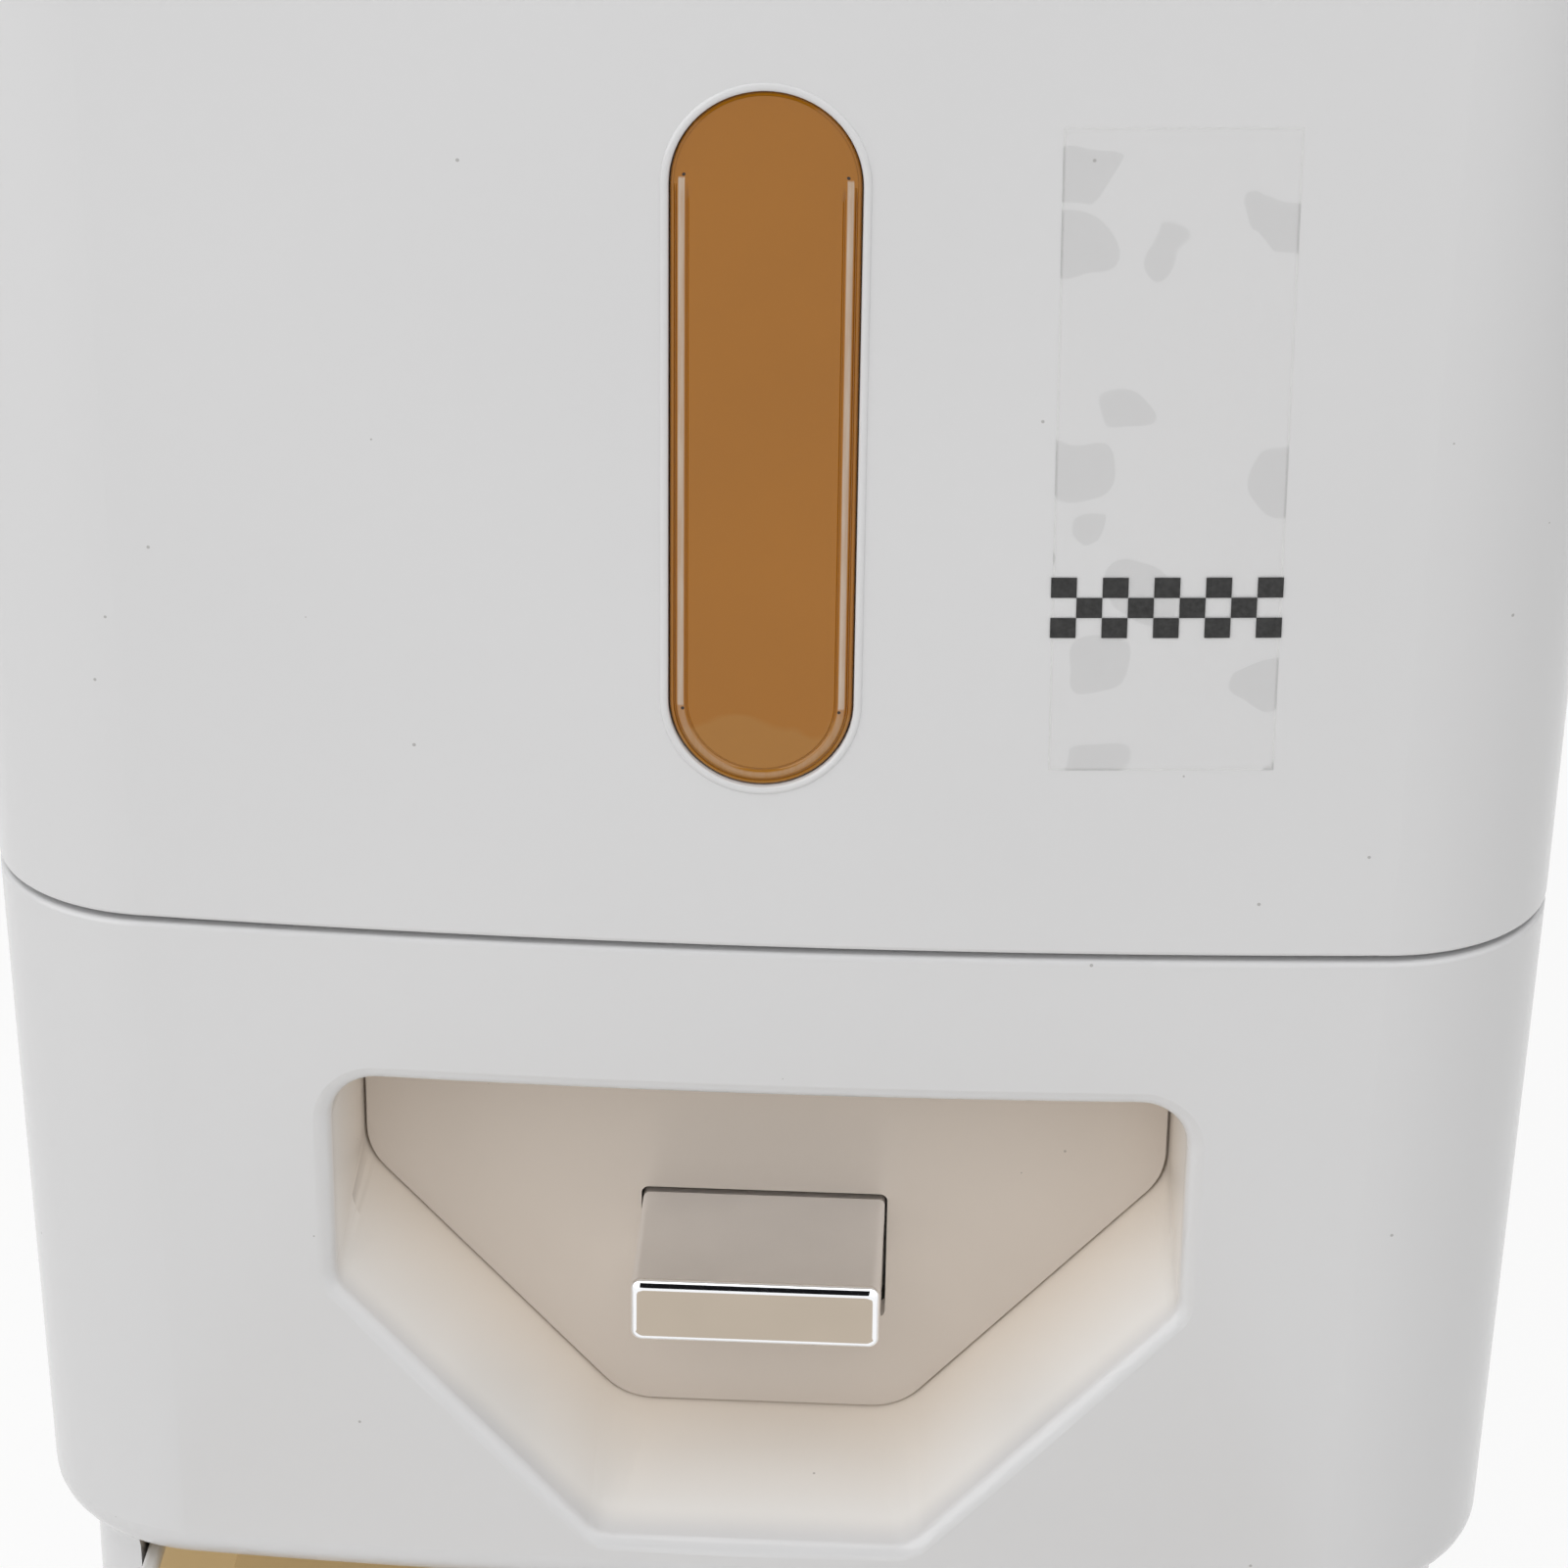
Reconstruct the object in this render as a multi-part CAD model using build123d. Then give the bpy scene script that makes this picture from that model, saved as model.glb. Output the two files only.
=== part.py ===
"""Rice container with a push lever that meters one dose into a drawer.

Millimetres, floor at Z = 0, X to the right, front towards -Y.
"""

import os
from math import cos, pi, radians, sin, sqrt, tan

from build123d import *

# Body: a hopper on a base on a set-back plinth, under a lid
seam_width = 195.0
body_depth = 260.0
plinth_height = 48.0
base_height = 94.5
hopper_height = 172.0
lid_height = 22.0
base_draft = 1.3
hopper_draft = 0.86
corner_radius = 23.0
crown_radius = 997.0
wall = 2.5
parting_gap = 0.8
parting_round = 0.6
plinth_inset = 5.0
step_rise = 2.1
step_drop = 1.1
step_upper_round = 5.5
step_lower_round = 4.5
ledge_thickness = 2.5

# Clearances and cuts
fit_gap = 0.3
glue_gap = 0.15
bearing_gap = 0.05
cut_overrun = 6.0

# Recess in the base front: its mouth, and the plate outline at its back. The top is measured down
# from the seam, the floor up from the plinth and the knee up from the floor.
recess_depth = 23.3
mouth_half_width = 53.4
mouth_top_drop = 20.5
mouth_knee_rise = 35.6
mouth_floor_rise = 7.9
mouth_floor_half_width = 20.2
mouth_top_round = 6.4
mouth_knee_round = 4.0
mouth_floor_round = 4.0
mouth_edge_round = 2.0
back_half_width = 52.2
back_top_drop = 20.5
back_knee_rise = 36.8
back_floor_rise = 14.9
back_floor_half_width = 18.4
back_top_round = 5.0
back_knee_round = 9.0
back_floor_round = 9.0
side_round_share = 0.45

# Recess plate and the slot of the lever
plate_gap = 0.4
plate_thickness = 2.5
plate_seat_depth = 1.5
plate_flange = 3.0
slot_width = 32.1
slot_height = 18.6
slot_top_rise = 32.75
slot_corner_round = 1.0

# Push lever
lever_width = 30.4
lever_thickness = 8.8
lever_top_rise = 32.0
lever_setback = 0.5
lever_swing = 28.0
lever_front_round = 1.4
lever_side_round = 1.0
cap_front_wall = 3.0
cap_wall = 2.0
cap_hub_gap = 1.3
pivot_behind_plate = 15.0
hub_radius = 7.0
axle_radius = 2.5
ear_thickness = 5.0
ear_gap = 0.8
clip_thickness = 1.0
clip_width = 2.5
axle_end = 1.2
crank_tip_rise = 5.5
crank_lead = 8.0
crank_width = 10.0
crank_thickness = 4.0
crank_tip_radius = 2.5
crank_tip_width = 14.0

# Dose chamber and the two gates on one sliding frame
chassis_thickness = 2.5
gate_thickness = 2.0
gate_overlap = 2.0
gate_side_margin = 2.0
gate_edge_margin = 3.4
gate_web_gap = 1.0
fork_gap = 0.35
fork_wall = 2.0
fork_half_width = 8.0
fork_rise = 6.7
chamber_half_length = 54.0
chamber_belly = 28.0
chamber_flare = 9.5
chamber_wall = 2.0
chamber_end_wall = 2.4
chamber_gap = 12.7
chamber_flange = 2.0
chamber_flange_reach = 6.0
leg_reach = 10.0
leg_length = 24.0
leg_pad = 3.0
leg_screw_share = 1 / 3
leg_rib = 2.5
leg_rib_height = 25.0

# Return spring behind the gate frame
spring_length = 36.0
spring_radius = 5.0
spring_wire = 1.0
spring_turns = 7
spring_steps = 24
spring_rise = 33.0
spigot_pin_radius = 3.4
spigot_pin_length = 5.0
post_thickness = 4.0
post_half_width = 9.0
post_margin = 10.0

# Hopper floor, with its throat below the seam
throat_drop = 18.3
collar_height = 4.0
collar_wall = 2.0
funnel_wall = 3.0
front_slope = 31.5
rear_slope = 27.0
side_slope = 40.0

# Joint between hopper and base
spigot_depth = 6.0
spigot_wall = 2.0
spigot_flange = 3.0
seat_ring_width = 3.0
seat_ring_height = 2.0

# Level window
window_width = 21.9
window_height = 85.0
window_rise = 21.9
window_gap = 0.25
window_setback = 0.3
window_edge_round = 0.6
window_flange = 3.0
window_flange_thickness = 1.5

# Lid, its liner, seal, lifting lip and hinge
lid_edge_round = 8.0
lip_reach = 4.0
lip_half_width = 22.0
lip_thickness = 4.0
lip_round = 1.5
liner_rise = 1.2
liner_thickness = 2.0
skirt_drop = 8.0
skirt_wall = 2.0
seal_width = 3.0
seal_height = 3.0
seal_drop = 3.0
lid_boss_radius = 3.5
lid_boss_side_distance = 30.0
lid_boss_end_distance = 40.0
hinge_radius = 4.0
hinge_pin_radius = 1.5
hinge_side_distance = 36.0
hinge_lid_length = 11.2
hinge_body_length = 6.0
hinge_side_gap = 0.4
hinge_web_drop = 10.0
hinge_web_rise = 7.0

# Drawer
drawer_side_gap = 6.45
drawer_length = 165.0
drawer_rim_gap = 3.5
drawer_proud = 1.0
drawer_wall = 2.2
drawer_floor = 2.5
drawer_corner_round = 4.0
drawer_rim_round = 0.8
drawer_foot_round = 1.5
bay_side_gap = 0.6
bay_mouth_depth = 20.0
pull_half_width = 30.0
pull_drop = 14.0
pull_round = 8.0

# Bottom plate, feet and screws
foot_height = 2.0
foot_radius = 8.0
foot_round = 0.5
foot_side_distance = 20.0
foot_end_distance = 27.0
bottom_thickness = 2.5
boss_radius = 3.0
boss_bite = 0.2
boss_end_distance = 45.0
screw_radius = 1.15
screw_head_radius = 2.5
screw_head_height = 1.5
screw_bite = 9.0
screw_slot_width = 0.7
screw_slot_length = 3.2
screw_slot_depth = 0.8
pilot_gap = 0.05
pilot_spare = 3.0
hole_gap = 0.25
hanging_boss_gap = 1.0
screw_tip_gap = 1.0


def sag(half, radius):
    """How far a bowed line falls back at half its chord."""
    return radius - sqrt(radius**2 - half**2)


def half_width(z):
    """Half of the body's width at a height, following the draft of the side walls."""
    if z < seam_z:
        return seam_width / 2 - (seam_z - z) * tan(radians(base_draft))
    return seam_width / 2 + (min(z, rim_z) - seam_z) * tan(radians(hopper_draft))


# Levels and places worked out from the sizes above
seam_z = plinth_height + base_height
rim_z = seam_z + hopper_height
lid_z = rim_z + parting_gap
top_z = rim_z + lid_height
step_low_z = plinth_height - step_drop
step_high_z = plinth_height + step_rise
hinge_reach = 2 * hinge_radius + fit_gap
front_y = (lip_reach - body_depth - hinge_reach) / 2
back_y = front_y + body_depth
hinge_x = half_width(rim_z) - hinge_side_distance
hinge_y = back_y + fit_gap + hinge_radius
hinge_z = rim_z + parting_gap / 2
lid_boss_x = half_width(rim_z) - lid_boss_side_distance
lid_boss_ys = (front_y + lid_boss_end_distance, back_y - lid_boss_end_distance)
ledge_z = plinth_height + ledge_thickness
chassis_z = ledge_z + chassis_thickness
bottom_z = foot_height + bottom_thickness
bay_inset = plinth_inset + wall
bay_half_width = half_width(plinth_height) - bay_inset
plate_y = front_y + recess_depth
plate_floor_z = plinth_height + back_floor_rise
pivot_y = plate_y + pivot_behind_plate
pivot_z = plate_floor_z + lever_top_rise - lever_thickness / 2
lever_front_y = front_y + lever_setback
ear_x = lever_width / 2 + ear_gap
gate_z = chassis_z + fit_gap
gate_half_length = chamber_half_length + gate_side_margin
crank_length = (pivot_z - gate_z - gate_thickness - crank_tip_rise) / cos(radians(crank_lead))
crank_tip_y = pivot_y - crank_length * sin(radians(crank_lead))
gate_travel = crank_length * (sin(radians(crank_lead)) + sin(radians(lever_swing - crank_lead)))
gate_slot = gate_travel - gate_overlap
chamber_y = pivot_y + chamber_gap + chamber_wall + chamber_belly / 2
chamber_z = gate_z + gate_thickness + fit_gap
throat_z = seam_z - throat_drop
collar_z = throat_z - collar_height
upper_gate_z = collar_z - fit_gap - gate_thickness
chamber_top_z = upper_gate_z - fit_gap
web_y = chamber_y + chamber_belly / 2 + chamber_wall + gate_web_gap
post_y = web_y + gate_thickness + spring_length + 2 * fit_gap
spring_z = gate_z + spring_rise
drawer_half_width = bay_half_width - drawer_side_gap
drawer_z = bottom_z + fit_gap
drawer_rim_z = plinth_height - drawer_rim_gap
boss_x = bay_half_width + boss_bite - boss_radius
boss_ys = (front_y + boss_end_distance, back_y - boss_end_distance)
foot_x = bay_half_width - foot_side_distance
foot_ys = (front_y + bay_inset + foot_end_distance, back_y - bay_inset - foot_end_distance)
leg_x = chamber_half_length + chamber_end_wall
leg_screw_x = leg_x + leg_rib + (leg_reach - leg_rib) / 2
leg_screw_ys = (chamber_y - leg_length * leg_screw_share, chamber_y + leg_length * leg_screw_share)
hanging_boss_z = drawer_rim_z + hanging_boss_gap


def bowed_face(side, apex, crown, back, corner, z):
    """Plan with a bowed front, straight sides and back and round corners, at a height."""
    edge = apex + sag(side, crown)
    front = ThreePointArc((-side, edge), (0, apex), (side, edge))
    rest = Polyline((side, edge), (side, back), (-side, back), (-side, edge))
    face = make_face([*front.edges(), *rest.edges()])
    return Plane.XY.offset(z) * fillet(face.vertices(), corner)


def plan(z, inset):
    """Plan of the body at a height, drawn in all round."""
    side = half_width(z) - inset
    return bowed_face(side, front_y + inset, crown_radius - inset, back_y - inset, corner_radius - inset, z)


def block(low, high, inset):
    """Solid of the body between two heights, with its draft."""
    return loft([plan(low, inset), plan(high, inset)], ruled=True)


def prism(at, inset, low, high):
    """Straight solid of the plan at one height, between two others."""
    return extrude(Plane.XY.offset(low - at) * plan(at, inset), high - low)


def box(x, y, z):
    """Box from three pairs of limits."""
    lows = (x[0], y[0], z[0])
    sizes = (x[1] - x[0], y[1] - y[0], z[1] - z[0])
    return Pos(*lows) * Box(*sizes, align=(Align.MIN, Align.MIN, Align.MIN))


def column(x, y, radius, low, high):
    """Upright round bar."""
    return Pos(x, y, low) * Cylinder(radius, high - low, align=(Align.CENTER, Align.CENTER, Align.MIN))


def cross_bar(y, z, radius, left, right):
    """Round bar along X."""
    return Pos((left + right) / 2, y, z) * Rot(0, 90, 0) * Cylinder(radius, right - left)


def front_plane(y):
    """Upright plane at a depth, with X and Z as its own axes."""
    return Plane(origin=(0, y, 0), x_dir=(1, 0, 0), z_dir=(0, -1, 0))


def recess_face(depth, grow):
    """Outline of the recess at a depth behind the front, widened by grow."""

    def at_depth(mouth, back):
        return mouth + (back - mouth) * depth / recess_depth

    half = at_depth(mouth_half_width, back_half_width)
    top = seam_z - at_depth(mouth_top_drop, back_top_drop)
    floor = plinth_height + at_depth(mouth_floor_rise, back_floor_rise)
    knee = floor + at_depth(mouth_knee_rise, back_knee_rise)
    floor_half = at_depth(mouth_floor_half_width, back_floor_half_width)
    most = (top - knee) * side_round_share
    top_round = min(at_depth(mouth_top_round, back_top_round), most)
    knee_round = min(at_depth(mouth_knee_round, back_knee_round), most)
    floor_round = at_depth(mouth_floor_round, back_floor_round)
    points = [(half, top), (half, knee), (floor_half, floor)]
    points += [(-x, z) for x, z in reversed(points)]
    rounds = [top_round, knee_round, floor_round]
    rounds += list(reversed(rounds))
    face = make_face(FilletPolyline(*points, radius=rounds, close=True).edges())
    if grow:
        face = offset(face, grow)
    return front_plane(front_y + depth) * face


def recess_block(start, end, grow):
    """Solid of the recess between two depths."""
    return loft([recess_face(start, grow), recess_face(end, grow)], ruled=True)


def screw(x, y, z, bite, up):
    """Pan-head screw whose head seats at z, with its shank pointing up or down."""
    head = Cylinder(screw_head_radius, screw_head_height, align=(Align.CENTER, Align.CENTER, Align.MAX))
    shank = Cylinder(screw_radius, bite, align=(Align.CENTER, Align.CENTER, Align.MIN))
    cross = Box(screw_slot_length, screw_slot_width, screw_slot_depth)
    cross += Box(screw_slot_width, screw_slot_length, screw_slot_depth)
    solid = head + shank - Pos(0, 0, screw_slot_depth / 2 - screw_head_height) * cross
    return Pos(x, y, z) * (solid if up else Rot(180, 0, 0) * solid)


def base_outer(high):
    """Solid of the base up to a height, with the rounded step down to its plinth."""
    outer = block(step_high_z, high, 0)
    outer += loft([plan(step_low_z, plinth_inset), plan(step_high_z, 0)], ruled=True)
    outer += prism(step_low_z, plinth_inset, foot_height, step_low_z)
    outer = fillet(level_edges(outer, step_high_z), step_upper_round)
    outer = fillet(level_edges(outer, step_low_z), step_lower_round)
    return fillet(outer.faces().sort_by(Axis.Z)[-1].edges(), parting_round)


def level_edges(solid, z):
    """Edges of a solid that lie level at a height."""
    return [edge for edge in solid.edges() if max(abs(v.Z - z) for v in edge.vertices()) < fit_gap]


def base_shell():
    """Lower housing: drafted walls, plinth, recess walls, drawer mouth and screw posts."""
    high = seam_z - parting_gap / 2
    outer = base_outer(high)
    shell = outer - block(ledge_z, high, wall)
    shell -= prism(plinth_height, bay_inset, foot_height, ledge_z)
    ring_z = seam_z - spigot_depth - seat_ring_height
    ring = prism(seam_z, wall / 2, ring_z, seam_z - spigot_depth) & outer
    shell += ring - prism(seam_z, wall + seat_ring_width, ring_z, seam_z - spigot_depth)
    end = recess_depth + plate_seat_depth
    shell += recess_block(-cut_overrun, end, wall) & outer
    shell -= recess_block(-cut_overrun, end + cut_overrun, 0)
    shell = fillet([edge for edge in shell.edges() if on_mouth(edge)], mouth_edge_round)
    mouth_x = drawer_half_width + bay_side_gap
    mouth_ys = (front_y - cut_overrun, front_y + bay_mouth_depth)
    shell -= box((-mouth_x, mouth_x), mouth_ys, (bottom_z, plinth_height))
    for side in (-1, 1):
        for y in boss_ys:
            shell += column(side * boss_x, y, boss_radius, bottom_z, ledge_z)
            pilot = screw_radius + pilot_gap
            shell -= column(side * boss_x, y, pilot, bottom_z, bottom_z + screw_bite + pilot_spare)
            shell -= column(side * boss_x, y, pilot, ledge_z - screw_bite - pilot_spare, ledge_z)
    return shell


def on_mouth(edge):
    """Whether an edge lies on the outer rim of the recess."""
    span = edge.bounding_box()
    in_front = span.max.Y < front_y + wall
    in_width = max(abs(span.min.X), abs(span.max.X)) < mouth_half_width + wall
    above_floor = span.min.Z > plinth_height + mouth_floor_rise - wall
    return in_front and in_width and above_floor and span.max.Z < seam_z - mouth_top_drop + wall


def recess_plate():
    """Plate at the back of the recess, with its hidden flange and the lever slot."""
    plate = recess_block(recess_depth, recess_depth + plate_seat_depth, -plate_gap)
    flange_face = recess_face(recess_depth + plate_seat_depth, plate_flange)
    flange = extrude(flange_face, plate_thickness, dir=(0, 1, 0))
    slot = RectangleRounded(slot_width, slot_height, slot_corner_round)
    slot_z = plate_floor_z + slot_top_rise - slot_height / 2
    slot_face = front_plane(plate_y - cut_overrun) * Pos(0, slot_z) * slot
    through = plate_seat_depth + plate_thickness + 2 * cut_overrun
    return plate + flange - extrude(slot_face, through, dir=(0, 1, 0))


def chassis_plate():
    """Floor of the mechanism, with the outlet, the screw bosses and the spring post."""
    plate = prism(ledge_z, wall + fit_gap, ledge_z, chassis_z)
    half_slot = gate_slot / 2
    outlet = (chamber_y - half_slot, chamber_y + half_slot)
    plate -= box((-chamber_half_length, chamber_half_length), outlet, (ledge_z, chassis_z))
    for side in (-1, 1):
        for y in boss_ys:
            plate -= column(side * boss_x, y, screw_radius + hole_gap, ledge_z, chassis_z)
        for y in leg_screw_ys:
            plate += column(side * leg_screw_x, y, boss_radius, hanging_boss_z, ledge_z)
            plate -= column(side * leg_screw_x, y, screw_radius + pilot_gap, hanging_boss_z, chassis_z)
    post_top = spring_z + spring_radius + post_margin
    plate += box((-post_half_width, post_half_width), (post_y, post_y + post_thickness), (ledge_z, post_top))
    pin = Pos(0, post_y, spring_z) * Rot(90, 0, 0) * Cylinder(
        spigot_pin_radius, spigot_pin_length, align=(Align.CENTER, Align.CENTER, Align.MIN)
    )
    return plate + pin


def bottom_plate():
    """Floor of the drawer bay."""
    plate = prism(plinth_height, bay_inset + fit_gap, foot_height, bottom_z)
    for side in (-1, 1):
        for y in boss_ys:
            plate -= column(side * boss_x, y, screw_radius + hole_gap, foot_height, bottom_z)
    return plate


def foot(x, y):
    """Round rubber foot under the bottom plate."""
    solid = column(x, y, foot_radius, 0, foot_height)
    return fillet(solid.edges().group_by(Axis.Z)[0], foot_round)


def drawer_tray():
    """Receiving drawer with a bowed front and a finger notch."""
    apex = front_y - drawer_proud
    crown = crown_radius + drawer_proud
    back = front_y + drawer_length
    high = drawer_rim_z - drawer_z
    outer = bowed_face(drawer_half_width, apex, crown, back, drawer_corner_round, drawer_z)
    inner_corner = drawer_corner_round - drawer_wall
    inner_half = drawer_half_width - drawer_wall
    floor_z = drawer_z + drawer_floor
    inner = bowed_face(
        inner_half, apex + drawer_wall, crown - drawer_wall, back - drawer_wall, inner_corner, floor_z
    )
    tray = extrude(outer, high) - extrude(inner, high)
    tray = fillet(tray.faces().sort_by(Axis.Z)[-1].edges(), drawer_rim_round)
    tray = fillet(tray.faces().sort_by(Axis.Z)[0].edges(), drawer_foot_round)
    notch = RectangleRounded(2 * pull_half_width, 2 * pull_drop, pull_round)
    notch_face = front_plane(apex - cut_overrun) * Pos(0, drawer_rim_z) * notch
    return tray - extrude(notch_face, drawer_wall + 2 * cut_overrun, dir=(0, 1, 0))


def chamber_profile(grow):
    """Side view of the dose chamber: a narrow mouth and outlet and a wide belly."""
    mouth = gate_slot / 2 + grow
    belly = chamber_belly / 2 + grow
    half = [
        (mouth, chamber_z),
        (belly, chamber_z + chamber_flare),
        (belly, chamber_top_z - chamber_flare),
        (mouth, chamber_top_z),
    ]
    points = half + [(-y, z) for y, z in reversed(half)]
    side = Plane(origin=(0, chamber_y, 0), x_dir=(0, 1, 0), z_dir=(1, 0, 0))
    return side * make_face(Polyline(*points, close=True).edges())


def measure_chamber():
    """Dose chamber with guide flanges, two legs and the ears that hold the lever axle."""
    solid = extrude(chamber_profile(chamber_wall), leg_x, both=True)
    reach = gate_slot / 2 + chamber_flange_reach
    flange_y = (chamber_y - reach, chamber_y + reach)
    solid += box((-leg_x, leg_x), flange_y, (chamber_z, chamber_z + chamber_flange))
    solid += box((-leg_x, leg_x), flange_y, (chamber_top_z - chamber_flange, chamber_top_z))
    solid -= extrude(chamber_profile(0), chamber_half_length, both=True)
    belly_y = chamber_y - chamber_belly / 2 - chamber_wall / 2
    ear_zs = (pivot_z - hub_radius, pivot_z + hub_radius)
    leg_ys = (chamber_y - leg_length / 2, chamber_y + leg_length / 2)
    for side in (-1, 1):
        ear = sorted((side * ear_x, side * (ear_x + ear_thickness)))
        solid += box(ear, (pivot_y, belly_y), ear_zs)
        solid += cross_bar(pivot_y, pivot_z, hub_radius, *ear)
        pad = sorted((side * leg_x, side * (leg_x + leg_reach)))
        rib = sorted((side * leg_x, side * (leg_x + leg_rib)))
        solid += box(pad, leg_ys, (chassis_z, chassis_z + leg_pad))
        solid += box(rib, leg_ys, (chassis_z, chassis_z + leg_rib_height))
        for y in leg_screw_ys:
            solid -= column(side * leg_screw_x, y, screw_radius + hole_gap, chassis_z, chassis_z + leg_pad)
    ear_end = ear_x + ear_thickness
    return solid - cross_bar(pivot_y, pivot_z, axle_radius + bearing_gap, -ear_end, ear_end)


def gate_frame():
    """Sliding frame: upper gate, rear web and lower gate with the fork of the crank."""
    half_slot = gate_slot / 2
    lengths = (-gate_half_length, gate_half_length)
    slot_x = (-chamber_half_length, chamber_half_length)
    web = (web_y, web_y + gate_thickness)
    front = chamber_y - gate_travel - half_slot - gate_edge_margin
    lower_z = (gate_z, gate_z + gate_thickness)
    upper_z = (upper_gate_z, upper_gate_z + gate_thickness)
    lower_slot = chamber_y - gate_travel
    frame = box(lengths, (front, web[1]), lower_z) + box(lengths, (front, web[1]), upper_z)
    frame += box(lengths, web, (lower_z[0], upper_z[1]))
    frame -= box(slot_x, (lower_slot - half_slot, lower_slot + half_slot), lower_z)
    frame -= box(slot_x, (chamber_y - half_slot, chamber_y + half_slot), upper_z)
    reach = crank_tip_radius + fork_gap
    fork_x = (-fork_half_width, fork_half_width)
    frame += box(fork_x, (crank_tip_y - reach - fork_wall, front), lower_z)
    for near in (crank_tip_y - reach - fork_wall, crank_tip_y + reach):
        frame += box(fork_x, (near, near + fork_wall), (lower_z[0], lower_z[1] + fork_rise))
    pin = Pos(0, web[1], spring_z) * Rot(-90, 0, 0) * Cylinder(
        spigot_pin_radius, spigot_pin_length, align=(Align.CENTER, Align.CENTER, Align.MIN)
    )
    return frame + pin


def lever_cap():
    """Chromed cap of the push lever, open at the back."""
    half = lever_width / 2
    high = pivot_z + lever_thickness / 2
    rear = pivot_y - hub_radius - cap_hub_gap
    cap = box((-half, half), (lever_front_y, rear), (high - lever_thickness, high))
    cap = fillet(cap.faces().sort_by(Axis.Y)[0].edges(), lever_front_round)
    long_edges = cap.edges().filter_by(Axis.Y).sort_by(SortBy.LENGTH)[-4:]
    cap = fillet(long_edges, lever_side_round)
    socket_z = (pivot_z - lever_thickness / 2 + cap_wall, pivot_z + lever_thickness / 2 - cap_wall)
    return cap - box((cap_wall - half, half - cap_wall), (lever_front_y + cap_front_wall, rear), socket_z)


def lever_arm():
    """Arm in the cap, its hub and the crank that drives the gates."""
    half = lever_width / 2 - cap_wall - bearing_gap
    thick = lever_thickness / 2 - cap_wall - bearing_gap
    tongue_front = lever_front_y + cap_front_wall + bearing_gap
    hub_half = ear_x - fit_gap
    arm = box((-half, half), (tongue_front, pivot_y), (pivot_z - thick, pivot_z + thick))
    arm += cross_bar(pivot_y, pivot_z, hub_radius, -hub_half, hub_half)
    crank = box(
        (-crank_width / 2, crank_width / 2), (-crank_thickness / 2, crank_thickness / 2), (-crank_length, 0)
    )
    crank += cross_bar(0, -crank_length, crank_tip_radius, -crank_tip_width / 2, crank_tip_width / 2)
    arm += Pos(0, pivot_y, pivot_z) * Rot(-crank_lead, 0, 0) * crank
    return arm - cross_bar(pivot_y, pivot_z, axle_radius + bearing_gap, -hub_half, hub_half)


def axle_half_length():
    """Half length of the lever axle, past both ears and retaining rings."""
    return ear_x + ear_thickness + fit_gap + clip_thickness + axle_end


def lever_axle():
    """Steel pin that the lever turns on."""
    return cross_bar(pivot_y, pivot_z, axle_radius, -axle_half_length(), axle_half_length())


def axle_clips():
    """Two retaining rings outside the ears."""
    inner = ear_x + ear_thickness + fit_gap
    rings = []
    for side in (-1, 1):
        ends = sorted((side * inner, side * (inner + clip_thickness)))
        ring = cross_bar(pivot_y, pivot_z, axle_radius + clip_width, *ends)
        rings.append(ring - cross_bar(pivot_y, pivot_z, axle_radius + bearing_gap / 2, *ends))
    return Compound(children=rings)


def biarc(start, start_way, end, end_way):
    """Two arcs that leave start and reach end along given unit ways."""
    chord = end - start
    ways = start_way + end_way
    bend = 2 * (start_way.dot(end_way) - 1)
    along = chord.dot(ways)
    reach = (along - sqrt(along**2 - bend * chord.dot(chord))) / bend
    first = start + start_way * reach
    second = end - end_way * reach
    middle = (first + second) * 0.5
    opening = TangentArc(start, middle, tangent=start_way)
    closing = TangentArc(middle, end, tangent=second - first)
    return [opening, closing]


def spring_point(turn):
    """Point of the spring's centre line after a number of turns, and its way there."""
    radius = spring_radius - spring_wire / 2
    pitch = (spring_length - spring_wire) / spring_turns
    angle = 2 * pi * turn
    start = web_y + gate_thickness + fit_gap + spring_wire / 2
    place = Vector(radius * cos(angle), start + pitch * turn, spring_z + radius * sin(angle))
    way = Vector(-2 * pi * radius * sin(angle), pitch, 2 * pi * radius * cos(angle))
    return place, way.normalized()


def least_turn_gap():
    """Least gap of the spring to itself, measured between points half a turn or more apart."""
    points = [spring_point(step / spring_steps)[0] for step in range(spring_steps * spring_turns + 1)]
    pairs = [(a, b) for i, a in enumerate(points) for b in points[i + spring_steps // 2:]]
    return min((a - b).length for a, b in pairs) - spring_wire


def return_spring():
    """Compression spring between the gate frame and its post, wound as one wire."""
    arcs = []
    for quarter in range(4 * spring_turns):
        arcs += biarc(*spring_point(quarter / 4), *spring_point((quarter + 1) / 4))
    path = Wire([arc.edge() for arc in arcs])
    place, way = spring_point(0)
    ring = Plane(origin=place, z_dir=way) * Circle(spring_wire / 2)
    print(f"return_spring: least gap between turns {least_turn_gap():.2f} mm")
    return sweep(ring, path=path)


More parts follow.
